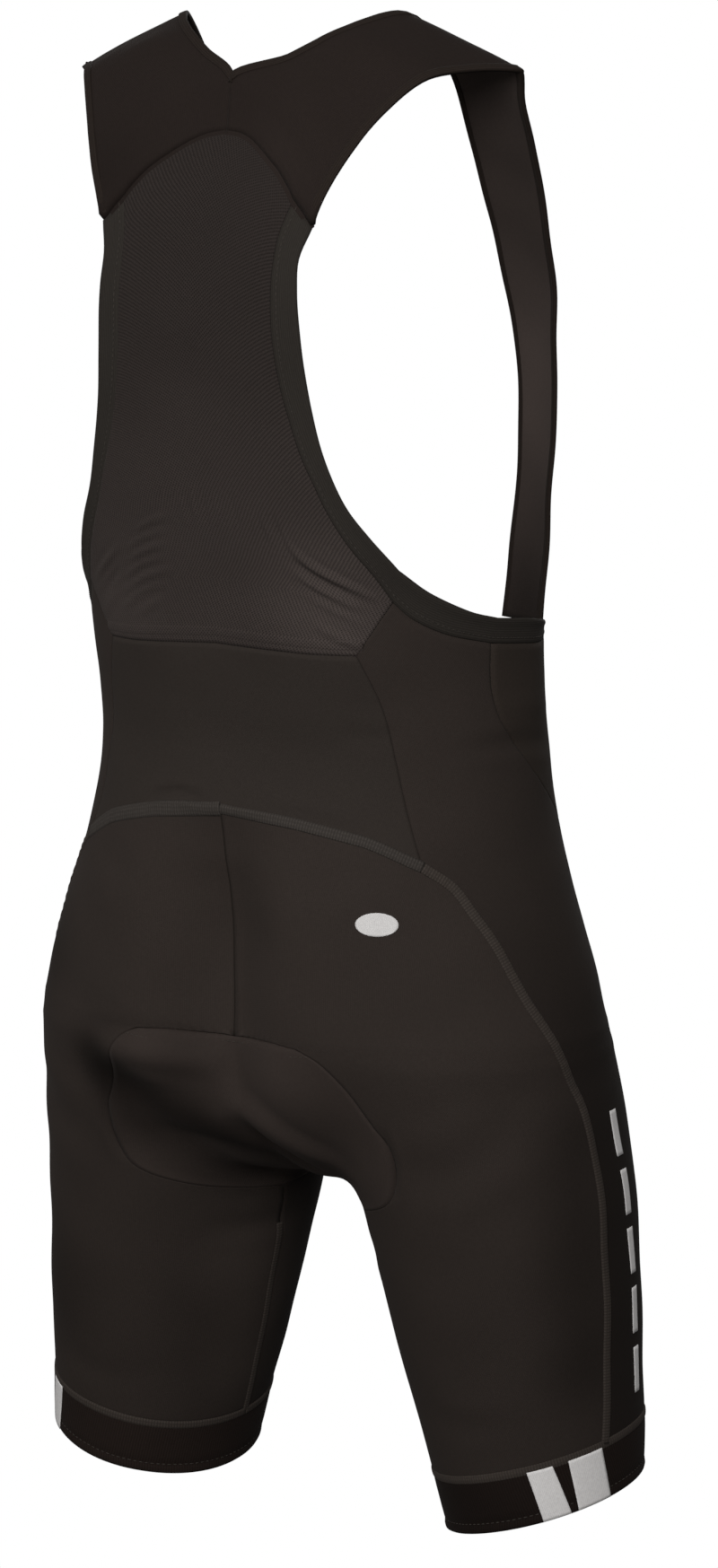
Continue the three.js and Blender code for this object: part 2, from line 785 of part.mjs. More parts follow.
// Seat pad, across the crotch

{
  const edge = chain(padSide, reversed(reversed(padFrontSide))).map(([turn, z]) => onCloth(turn, z));
  const rear = padRear.map(([turn, z]) => onCloth(turn, z));
  const fore = reversed(padFront).map(([turn, z]) => onCloth(turn, z));
  const rows = edge.length - 1;
  const cols = STEPS.padRear;
  const start = rear[0];
  const finish = fore[0];
  const angle = (p) => Math.atan2(p[2] + 575, p[1]);
  const half = edge.map((far, i) => {
    const t = i / rows;
    const lean = mix(angle(start) - angle(edge[0]), angle(finish) + (angle(finish) > 0 ? -2 * Math.PI : 0) -
      angle(edge[rows]) - (angle(edge[rows]) > 0 ? -2 * Math.PI : 0), t);
    const a = angle(far) + lean;
    const near = i === 0 ? start : i === rows ? finish : meet([0, 0, -575], [0, Math.cos(a), Math.sin(a)]);
    const row = [];
    for (let j = 0; j <= cols; j += 1) {
      const s = j / cols;
      if (i === 0) row.push(rear[j]);
      else if (i === rows) row.push(fore[j]);
      else if (j === 0 || j === cols) row.push(j ? far : near);
      else {
        const straight = [0, 1, 2].map((c) => mix(near[c], far[c], c === 0 ? s : s * s * (1.6 - 0.6 * s)));
        row.push(settle(straight));
      }
    }
    return row;
  });
  const swell = (t, s) => {
    const along = Math.sin(Math.PI * Math.min(1, t * 1.25)) ** 0.7 * (t < 0.8 ? 1 : 0);
    const lobe = Math.sin(Math.PI * s) ** 0.8;
    const body = Math.cos((Math.PI / 2) * s) ** 0.6;
    return [PAD_SWELL * along * lobe, (PAD_WALL - WALL) * Math.sin(Math.PI * t) ** 0.6 * body];
  };
  const [outer, inner] = walls(half, {}, { sides: { top: true, foot: true, far: true }, swell });
  body("seat_pad", bothHalves(outer), bothHalves(inner), COLOR.pad);
}

// Straps, which join at the centre of the yoke

{
  const columnsOf = (c) => smoothLine(STRAP.map((row) => row.slice(c, c + 3)), 12);
  const even3 = (line, steps) => {
    const run = [0];
    for (let k = 1; k < line.length; k += 1) run.push(run[k - 1] + size(sub(line[k], line[k - 1])));
    return Array.from({ length: steps + 1 }, (_, n) => {
      const goal = (run[run.length - 1] * n) / steps;
      let k = 1;
      while (k < run.length - 1 && run[k] < goal) k += 1;
      return line[k].map((v, c) => mix(line[k - 1][c], v, (goal - run[k - 1]) / (run[k] - run[k - 1] || 1)));
    });
  };
  const stationLine = smoothLine(STRAP, 12);
  const stations = even3(stationLine, STEPS.strap);
  const near = stations.map((row) => row.slice(0, 3));
  const far = stations.map((row) => row.slice(3, 6));
  const archPoints = chain(arch, archEnd).map(([turn, z]) => onCloth(turn, z));
  const cols = archPoints.length - 1;
  const rows = near.length - 1;
  near[rows] = archPoints[0];
  far[rows] = archPoints[cols];
  const run = [0];
  for (let k = 1; k <= cols; k += 1) run.push(run[k - 1] + size(sub(archPoints[k], archPoints[k - 1])));
  const part = run.map((r) => r / run[cols]);
  const bow = archPoints.map((p, j) => sub(p, [0, 1, 2].map((c) => mix(near[rows][c], far[rows][c], part[j]))));
  let grid = near.map((p, i) => part.map((s, j) => {
    const flat = [0, 1, 2].map((c) => mix(p[c], far[i][c], s));
    const share = Math.max(0, (i - rows * 0.72) / (rows * 0.28)) ** 1.5;
    return add(flat, bow[j], share);
  }));
  const facing = gridNormals(grid, 1);
  const sense = facing[0][3][1] < 0 ? 1 : -1;
  grid = eachPoint(grid, (p, i, j) => {
    const t = i / rows;
    const ridge = 1 - 0.6 * Math.exp(-(((t - STRAP_RIDGE) / 0.07) ** 2));
    const joined = Math.min(1, Math.max(0, (t - STRAP_JOIN) / 0.1));
    const profile = mix(4 * part[j] * (1 - part[j]), 6.75 * part[j] ** 2 * (1 - part[j]), joined);
    const crown = STRAP_CROWN * ridge * profile * Math.min(1, (1 - t) * 5) * Math.min(1, 0.4 + t * 6);
    return add(p, facing[i][j], sense * crown);
  });
  const normals = gridNormals(grid, sense);
  normals[rows] = archPoints.map(outward);
  trim(grid, normals, { foot: true, top: true });
  for (let i = 0; i <= rows; i += 1) {
    if (grid[i][0][0] < SEAM_GAP / 2) grid[i][0][0] = SEAM_GAP / 2;
  }
  const outer = eachPoint(grid, (p) => p);
  const inner = eachPoint(grid, (p, i, j) => add(p, normals[i][j], -WALL));
  for (let i = 0; i <= rows; i += 1) {
    if (inner[i][0][0] < SEAM_GAP / 2) inner[i][0][0] = SEAM_GAP / 2;
  }
  pair("strap", outer, inner, COLOR.strap);
}

// Leg grippers: one ring each

{
  const ring = hemRear.slice(0, -1).concat(hemFore.slice(0, -1));
  const drops = [SEAM_GAP / 2, SEAM_HALF, SEAM_FOOT, HEM_BAND / 2, HEM_BAND - 5, HEM_BAND];
  const grid = drops.map((d) => ring.map(([turn, z]) => onCloth(turn, z - d)));
  const normals = eachPoint(grid, outward);
  const outer = eachPoint(grid, (p, i, j) => add(p, normals[i][j], i <= 1 ? SEAM_RISE : i === 5 ? 0.3 : 0));
  const inner = eachPoint(grid, (p, i, j) => add(p, normals[i][j], -WALL));
  body("hem_band_left", outer, inner, COLOR.hem, true);
  body("hem_band_right", mirrored(outer), mirrored(inner), COLOR.hem, true);
}

export default group;
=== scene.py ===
"""Cycling bib shorts in their hollow worn pose, dressed in knit, mesh, bands and seams.

Lengths inside the garment's own classes are millimetres round the body axis: the
wearer faces -Y, the wearer's left is +X and +Z is up.  A mesh is made in metres.
"""

from __future__ import annotations

import logging
import math
from collections.abc import Callable
from dataclasses import dataclass
from enum import Enum

import bmesh
import bpy
import numpy as np
from mathutils import Matrix, Vector


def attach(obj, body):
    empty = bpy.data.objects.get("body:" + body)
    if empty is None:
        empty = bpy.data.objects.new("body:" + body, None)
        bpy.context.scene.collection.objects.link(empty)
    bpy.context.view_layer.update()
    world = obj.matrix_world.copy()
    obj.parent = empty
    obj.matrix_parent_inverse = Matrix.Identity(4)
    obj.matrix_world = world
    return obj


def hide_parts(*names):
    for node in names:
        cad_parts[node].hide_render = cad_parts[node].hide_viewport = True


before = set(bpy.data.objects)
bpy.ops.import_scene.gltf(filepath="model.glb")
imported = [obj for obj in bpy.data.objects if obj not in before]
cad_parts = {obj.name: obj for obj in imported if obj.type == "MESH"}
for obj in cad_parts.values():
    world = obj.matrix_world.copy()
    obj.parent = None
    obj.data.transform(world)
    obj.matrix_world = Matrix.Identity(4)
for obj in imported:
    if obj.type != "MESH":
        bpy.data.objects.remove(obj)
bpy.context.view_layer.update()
LOG = logging.getLogger("bib_shorts")

MM = 0.001
BODY_AXIS_Y = -28.0
WAVE_RATE = 20.0  # radians that the wave node turns per unit at scale one
Array = np.ndarray
Rows = tuple[tuple[float, ...], ...]
Input = float | bpy.types.NodeSocket


# Shape of the worn form


def column(table: Rows, z: Array, c: int) -> Array:
    """Smooth value of one column of a table whose first column falls.

    Args:
        table: Rows of numbers, with the height first.
        z: Heights to look up.
        c: Column to read.

    Returns:
        The value at each height.
    """
    rows = np.array(table)[::-1]
    level, value = rows[:, 0], rows[:, c]
    last = len(level) - 1
    before = np.maximum(np.arange(last + 1) - 1, 0)
    after = np.minimum(np.arange(last + 1) + 1, last)
    slope = (value[after] - value[before]) / (level[after] - level[before])
    z = np.clip(z, level[0], level[-1])
    k = np.clip(np.searchsorted(level, z, side="right") - 1, 0, last - 1)
    span = level[k + 1] - level[k]
    t = (z - level[k]) / span
    rise = t * t * (3 - 2 * t)
    bend = t * (1 - t) ** 2 * slope[k] - t * t * (1 - t) * slope[k + 1]
    return value[k] * (1 - rise) + value[k + 1] * rise + span * bend


def unit(v: Array) -> Array:
    """Vectors of length one."""
    return v / np.maximum(np.linalg.norm(v, axis=-1, keepdims=True), 1e-9)


def smooth_line(keys: Array, fine: int = 24) -> Array:
    """A smooth line through key rows, with fine steps between two keys.

    Args:
        keys: Rows of any number of columns.
        fine: Steps between two keys.

    Returns:
        The rows of the smooth line.
    """
    keys = np.array(keys, float)
    slope = np.empty_like(keys)
    slope[1:-1] = (keys[2:] - keys[:-2]) / 2
    slope[0] = keys[1] - keys[0]
    slope[-1] = keys[-1] - keys[-2]
    t = (np.arange(fine) / fine)[None, :, None]
    a, b = keys[:-1, None], keys[1:, None]
    sa, sb = slope[:-1, None], slope[1:, None]
    rise = t * t * (3 - 2 * t)
    line = a * (1 - rise) + b * rise + t * (1 - t) ** 2 * sa - t * t * (1 - t) * sb
    return np.concatenate([line.reshape(-1, keys.shape[1]), keys[-1:]])


def run_of(points: Array) -> Array:
    """Length along a line of points, from its start."""
    steps = np.linalg.norm(np.diff(points, axis=0), axis=1)
    return np.concatenate([[0.0], np.cumsum(steps)])


def spaced(line: Array, run: Array, shares: Array) -> Array:
    """Rows of a line at shares of its length."""
    goal = shares * run[-1]
    return np.stack([np.interp(goal, run, line[:, c]) for c in range(line.shape[1])], axis=1)


def even(steps: int) -> Array:
    """Shares from nought to one in even steps."""
    return np.linspace(0.0, 1.0, steps + 1)


def chain(*lines: Array) -> Array:
    """Lines joined end to end, with each shared end kept once."""
    return np.concatenate([lines[0], *[line[1:] for line in lines[1:]]])


def mirrored(points: Array) -> Array:
    """The same points on the wearer's other side."""
    return points * np.array([-1.0, 1.0, 1.0])


@dataclass(frozen=True)
class WornForm:
    """The form that the cloth keeps: a torso, a hollow between the seat rounds and two legs.

    Torso rows: z, half width, depth behind, depth before, corner power behind and before.
    Leg rows: z, centre out, centre y, half width, half depth.  Hub rows: z, out, y.
    """

    torso: Rows = (
        (-20, 152, 66, 70, 2.4, 2.2),
        (-62, 155, 92, 82, 2.4, 2.2),
        (-85, 155, 107, 90, 2.4, 2.2),
        (-115, 155, 119, 96, 2.4, 2.2),
        (-157, 155, 127, 101, 2.4, 2.2),
        (-205, 152, 124, 103, 2.4, 2.2),
        (-255, 147, 121, 101, 2.4, 2.1),
        (-292, 143, 116, 95, 2.4, 2),
        (-317, 140, 110, 89, 2.35, 2),
        (-354, 137.5, 104, 86, 2.25, 2),
        (-380, 138, 99.5, 91, 2.15, 2),
        (-406, 138, 97, 99.5, 2.12, 2),
        (-441, 141, 102, 106.5, 2.1, 2),
        (-484, 153, 111.5, 108, 2.1, 2),
        (-510, 163.5, 113, 106, 2.1, 2),
        (-536, 172.5, 113.5, 106, 2.1, 2),
        (-562, 178, 112.5, 107, 2.15, 2),
    )
    hollow: Rows = (
        (-438, 1),
        (-462, 11),
        (-487, 22),
        (-524, 26),
        (-564, 25),
        (-600, 18),
        (-635, 6),
    )
    leg: Rows = (
        (-530, 91, 0, 78.5, 88.5),
        (-565, 94, -2, 80.5, 91.5),
        (-588, 97, -5, 82, 91.7),
        (-620, 102, -10, 82, 88.8),
        (-655, 108, -15, 80, 83.8),
        (-690, 113.5, -17.5, 76.8, 79.8),
        (-748, 122.5, -19, 70.8, 73),
        (-800, 131, -20.5, 64, 65.5),
        (-850, 139, -21.5, 57.8, 59.6),
    )
    hub: Rows = (
        (-20, 30, 0),
        (-300, 40, 0),
        (-470, 44, 0),
        (-520, 62, 0),
        (-562, 84, 0),
        (-620, 100, -8),
        (-690, 113, -17.5),
        (-748, 122.5, -19),
        (-800, 131, -20.5),
        (-850, 139, -21.5),
    )
    dome_top: float = -562.0
    dome_depth: float = 97.0
    dome_square: float = 1.8
    hollow_spread: float = 34.0
    leg_top: float = -575.0
    leg_fade: float = 0.32
    leg_blend: float = 14.0
    leg_skew: float = 0.05

    def reach(self, p: Array) -> Array:
        """Signed reach of points: below zero inside the form, above zero outside it."""
        x, y, z = p[..., 0], p[..., 1], p[..., 2]
        level = np.maximum(z, self.dome_top)
        behind = y >= 0
        cleft = column(self.hollow, z, 1) * np.exp(-((x / self.hollow_spread) ** 2))
        wide = column(self.torso, level, 1)
        deep = np.where(behind, column(self.torso, level, 2) - cleft, column(self.torso, level, 3))
        power = np.where(behind, column(self.torso, level, 4), column(self.torso, level, 5))
        ring = (np.abs(x / wide) ** power + np.abs(y / deep) ** power) ** (1 / power)
        drop = np.maximum(self.dome_top - z, 0)
        m = self.dome_square
        ring = (ring**m + (drop / self.dome_depth) ** m) ** (1 / m)
        trunk = np.sqrt(x * x + y * y + drop * drop) * (1 - 1 / np.maximum(ring, 0.05))
        u = np.sqrt(x * x + 4) - column(self.leg, z, 1)
        v = y - column(self.leg, z, 2)
        tube = np.hypot(u / column(self.leg, z, 3), (v - self.leg_skew * u) / column(self.leg, z, 4))
        limb = np.hypot(u, v) * (1 - 1 / np.maximum(tube, 0.05))
        limb = limb + np.maximum(z - self.leg_top, 0) * self.leg_fade
        h = np.maximum(self.leg_blend - np.abs(trunk - limb), 0) / self.leg_blend
        return np.minimum(trunk, limb) - h * h * self.leg_blend / 4

    def outward(self, p: Array) -> Array:
        """Direction out of the form at points on it."""
        step = 0.4 * np.eye(3)
        return unit(np.stack([self.reach(p + s) - self.reach(p - s) for s in step], axis=-1))

    def meet(self, start: Array, way: Array) -> Array:
        """First point of the form along rays from inside.

        Args:
            start: Points inside the form.
            way: Direction of each ray.

        Returns:
            The points where the rays leave the form.
        """
        start, way = np.broadcast_arrays(start, way)
        shape = start.shape
        start, way = start.reshape(-1, 3), way.reshape(-1, 3)
        low = np.zeros(len(start))
        live = np.arange(len(start))
        for r in np.arange(4.0, 264.0, 4.0):
            inside = self.reach(start[live] + way[live] * r) < 0
            live = live[inside]
            if not len(live):
                break
            low[live] = r
        high = low + 4.0
        for _ in range(14):
            mid = (low + high) / 2
            inside = self.reach(start + way * mid[:, None]) < 0
            low = np.where(inside, mid, low)
            high = np.where(inside, high, mid)
        return (start + way * ((low + high) / 2)[:, None]).reshape(shape)

    def settle(self, p: Array, rounds: int = 8) -> Array:
        """Nearest points of the form."""
        for _ in range(rounds):
            p = p - self.outward(p) * self.reach(p)[..., None] * 0.85
        return p

    def hub_at(self, z: Array) -> Array:
        """Point of the measuring axis at a height."""
        return np.stack([column(self.hub, z, 1), column(self.hub, z, 2), z], axis=-1)

    def on_cloth(self, places: Array) -> Array:
        """Points of the cloth at places of an angle from the inner side and a height."""
        turn, z = places[..., 0], places[..., 1]
        way = np.stack([-np.cos(turn), np.sin(turn), np.zeros_like(turn)], axis=-1)
        return self.meet(self.hub_at(z), way)

    def place_of(self, key: tuple[float, ...], front: bool = False) -> tuple[float, float]:
        """Angle and height of a point on the cloth.

        Args:
            key: The point; an out of nought is solved on the centre line.
            front: Whether small angles count on past a full turn.

        Returns:
            The angle from the inner side by way of the back, and the height.
        """
        p = np.array(key, float)
        if p[0] == 0:
            p = self.meet(np.array([0.0, 0.0, p[2]]), np.array([0.0, math.copysign(1, p[1]), 0.0]))
        hub = self.hub_at(p[2])
        turn = math.atan2(p[1] - hub[1], hub[0] - p[0])
        if front and turn < math.radians(100):
            turn += 2 * math.pi
        return turn, float(p[2])


# Cut of the garment


@dataclass(frozen=True)
class Cut:
    """Seam lines on the form, each a short table of out, y and z, and the strap's two edges."""

    form: WornForm
    fine: int = 4
    wide: int = 60
    hem_height: float = -835.5
    hem_tilt: float = 15.0
    hem_dip: float = 9.0
    hem_band: float = 31.0
    side_hip: float = 0.34
    side_thigh: float = 0.71
    side_end: float = 162.0
    back_centre: tuple[float, float] = (-438, -568)
    front_centre: tuple[float, float] = (-520, -612)
    armhole_back: Rows = (
        (72, 114, -115),
        (66.2, 117, -131),
        (66.6, 119, -148),
        (68, 119, -166),
        (69.8, 117, -190),
        (73, 114, -214),
        (78.2, 110, -238),
        (87, 104, -263),
        (97, 95, -281),
        (108.4, 82.5, -300),
    )
    armhole_under: Rows = (
        (108.4, 82.5, -300),
        (119.4, 68, -313),
        (131, 47, -324),
        (137, 28, -329),
    )
    armhole_front: Rows = (
        (137, 28, -329),
        (137, 0, -331.5),
        (132, -27, -335.5),
        (118, -46, -340.5),
    )
    yoke_arch: Rows = (
        (0, 92, -64),
        (12, 95.5, -66),
        (24.5, 100, -71.5),
        (41.6, 105, -83),
        (52, 108, -93),
        (58, 112, -100),
    )
    yoke_arch_end: Rows = ((58, 112, -100), (65, 113, -107), (72, 114, -115))
    band_back: Rows = (
        (58, 112, -100),
        (52.5, 116, -118),
        (51.2, 121, -137),
        (51.5, 123, -157),
        (52.4, 122.6, -176),
        (55.5, 119.6, -201),
        (59.9, 117.5, -219),
        (65.8, 114.8, -238),
        (72.2, 111.3, -254),
        (78.5, 107, -270),
        (87.2, 100, -287),
        (96.8, 90.6, -303),
        (103.5, 81.5, -318),
    )
    band_under: Rows = (
        (103.5, 81.5, -318),
        (111, 72, -328),
        (123, 56, -337),
        (134.5, 31, -343),
    )
    band_front: Rows = (
        (134.5, 31, -343),
        (138, 8, -345),
        (134, -20, -346.5),
        (116, -48, -342),
    )
    mesh_corner: Rows = ((103.5, 81.5, -318), (94.6, 84, -331), (83, 86, -348))
    mesh_foot: Rows = ((0, 102, -345), (40, 99, -347), (60, 94, -348), (83, 86, -348))
    waist_side: Rows = (
        (83, 86, -348),
        (93, 76, -378),
        (98, 71, -405),
        (104, 69.8, -430),
        (116, 70, -464.5),
    )
    waist: Rows = (
        (0, 105, -438),
        (28, 102, -440.4),
        (51, 98, -443),
        (80, 89.4, -449),
        (94, 83, -453.4),
        (116, 70, -464.5),
    )
    strap_foot: Rows = ((116, -48, -342), (94, -66, -342.5), (73.5, -73.7, -343))
    bib_neck: Rows = ((73.5, -73.7, -343), (34, -84, -349), (0, -87, -352))
    bib_side: Rows = (
        (134.5, 31, -343),
        (133, 29, -368),
        (134, 22, -387),
        (136, 10, -401),
        (137.4, -3, -415),
        (136.6, -19, -429),
    )
    bib_foot: Rows = (
        (136.6, -19, -429),
        (128, -47, -449),
        (96, -78, -476),
        (50, -97, -502),
        (0, -100, -520),
    )
    pad_rear: Rows = ((0, 88, -568), (22, 95, -566.5), (38, 101, -565.5), (55, 105.6, -566.5))
    pad_side: Rows = (
        (55, 105.6, -566.5),
        (69.8, 102.7, -574),
        (81, 95, -588),
        (90, 83.5, -607),
        (98, 76.5, -624),
        (97, 69.5, -645),
        (88, 60, -659),
        (70, 38, -668),
        (54, 15, -673),
        (46, -8, -675),
    )
    pad_front_side: Rows = (
        (46, -8, -675),
        (42, -34, -669),
        (40, -60, -650),
        (38, -82, -618),
    )
    pad_front: Rows = ((38, -82, -618), (18, -88, -613), (0, -90, -612))
    side_upper: Rows = (
        (116, 70, -464.5),
        (130, 60, -476),
        (140, 53.5, -492),
        (149, 47, -509),
        (162, 38.5, -538),
        (172, 29, -559),
        (179, 16, -585),
        (182.3, 7.4, -603),
    )
    side_leg: Rows = ((173, -640), (170, -680), (168, -720), (165, -765))
    strap: Rows = (
        (74.5, -73.2, -341.6, 116, -48, -341),
        (76.2, -77, -305, 119, -48.5, -305),
        (78.2, -80.5, -272, 121, -48.5, -272),
        (80.2, -81, -222, 126, -46, -222),
        (80.2, -76, -184, 129, -41, -184),
        (80.7, -62.7, -147, 132.5, -34, -147),
        (81.8, -40, -98, 135.5, -17, -98),
        (82.4, -25.5, -70, 139, -2, -71),
        (82.8, -12, -42, 142.5, 12, -49),
        (81.5, -2.5, -27, 146, 19, -38),
        (78.5, 13, -10, 148.5, 24, -33),
        (73.4, 29, 0, 148.5, 28.5, -31),
        (60, 48, -4, 132, 47, -31),
        (43, 64, -11, 116, 68, -35.5),
        (22, 76, -22, 101, 86, -53),
        (0, 86, -32, 89, 98.5, -73),
        (0, 89.5, -47, 79, 108, -95),
        (0, 92, -64, 72, 114, -115),
    )
    strap_ridge: float = 0.72
    strap_crown: float = 2.4
    strap_join: float = 0.80

    def along(self, places: Array, shares: Array) -> Array:
        """Places along a line of places at shares of its length on the cloth."""
        return spaced(places, run_of(self.form.on_cloth(places)), shares)

    def seam(self, keys: Rows, steps: int, front: bool = False) -> Array:
        """Places in even steps along a seam.

        Args:
            keys: Points that the seam runs through.
            steps: Number of coarse steps.
            front: Whether angles count on past a full turn.

        Returns:
            Rows of angle and height.
        """
        places = smooth_line(np.array([self.form.place_of(key, front) for key in keys]))
        return self.along(places, even(steps * self.fine))

    def centre(self, high: float, low: float, sense: int, steps: int) -> Array:
        """Places on the centre line between two heights, behind (1) or in front (-1)."""
        levels = np.linspace(high, low, steps * self.fine + 1)
        return np.array([self.form.place_of((0, sense, z), sense < 0) for z in levels])

    def hem_top(self, turn: Array) -> Array:
        """Height of the upper edge of the leg band at an angle."""
        return self.hem_height + self.hem_band - self.hem_tilt * np.cos(turn) - self.hem_dip * np.sin(turn)

    def across(self, keys: Rows, front: bool = False) -> Array:
        """Places across a piece, along its upper or lower seam."""
        places = smooth_line(np.array([self.form.place_of(key, front) for key in keys]))
        return self.along(places, even(self.wide))

    def hem(self, start: float, end: float) -> Array:
        """Places along the upper edge of the leg band between two angles."""
        turn = np.linspace(start, end, self.wide + 1)
        return np.stack([turn, self.hem_top(turn)], axis=1)

    def side_seam(self) -> Array:
        """Places down the side seam, spaced as the rows of the seat and of the side are."""
        end = math.radians(self.side_end)
        keys = [self.form.place_of(key) for key in self.side_upper]
        keys += [(math.radians(turn), z) for turn, z in self.side_leg]
        keys.append((end, float(self.hem_top(np.array(end)))))
        shares = chain(
            even(15 * self.fine) * self.side_hip,
            self.side_hip + even(11 * self.fine) * (self.side_thigh - self.side_hip),
            self.side_thigh + even(9 * self.fine) * (1 - self.side_thigh),
        )
        return self.along(smooth_line(np.array(keys)), shares)

    def inseam(self) -> Array:
        """Places down the inner side of the leg."""
        top = self.seam(self.pad_side, 11)[-1]
        keys = np.array([top, (math.radians(3), -740), (0, float(self.hem_top(np.array(0.0))))])
        return self.along(smooth_line(keys), even(9 * self.fine))

    def fill(self, top: Array, foot: Array, near: Array, far: Array) -> Array:
        """Points of the cloth between four seams.

        Args:
            top: Places along the upper seam.
            foot: Places along the lower seam.
            near: Places down the first side.
            far: Places down the other side.

        Returns:
            A grid of points, with rows down the sides.
        """
        t = even(len(near) - 1)[:, None, None]
        s = even(len(top) - 1)[None, :, None]
        sides = near[:, None] * (1 - s) + far[:, None] * s
        ends = top[None] * (1 - t) + foot[None] * t
        corners = (near[0] * (1 - s) + far[0] * s) * (1 - t) + (near[-1] * (1 - s) + far[-1] * s) * t
        return self.form.on_cloth(sides + ends - corners)


# Folds and puckers


@dataclass(frozen=True)
class Crease:
    """A listed fold: points it runs through, half width, and height (a trough is below zero)."""

    run: Rows
    width: float
    height: float


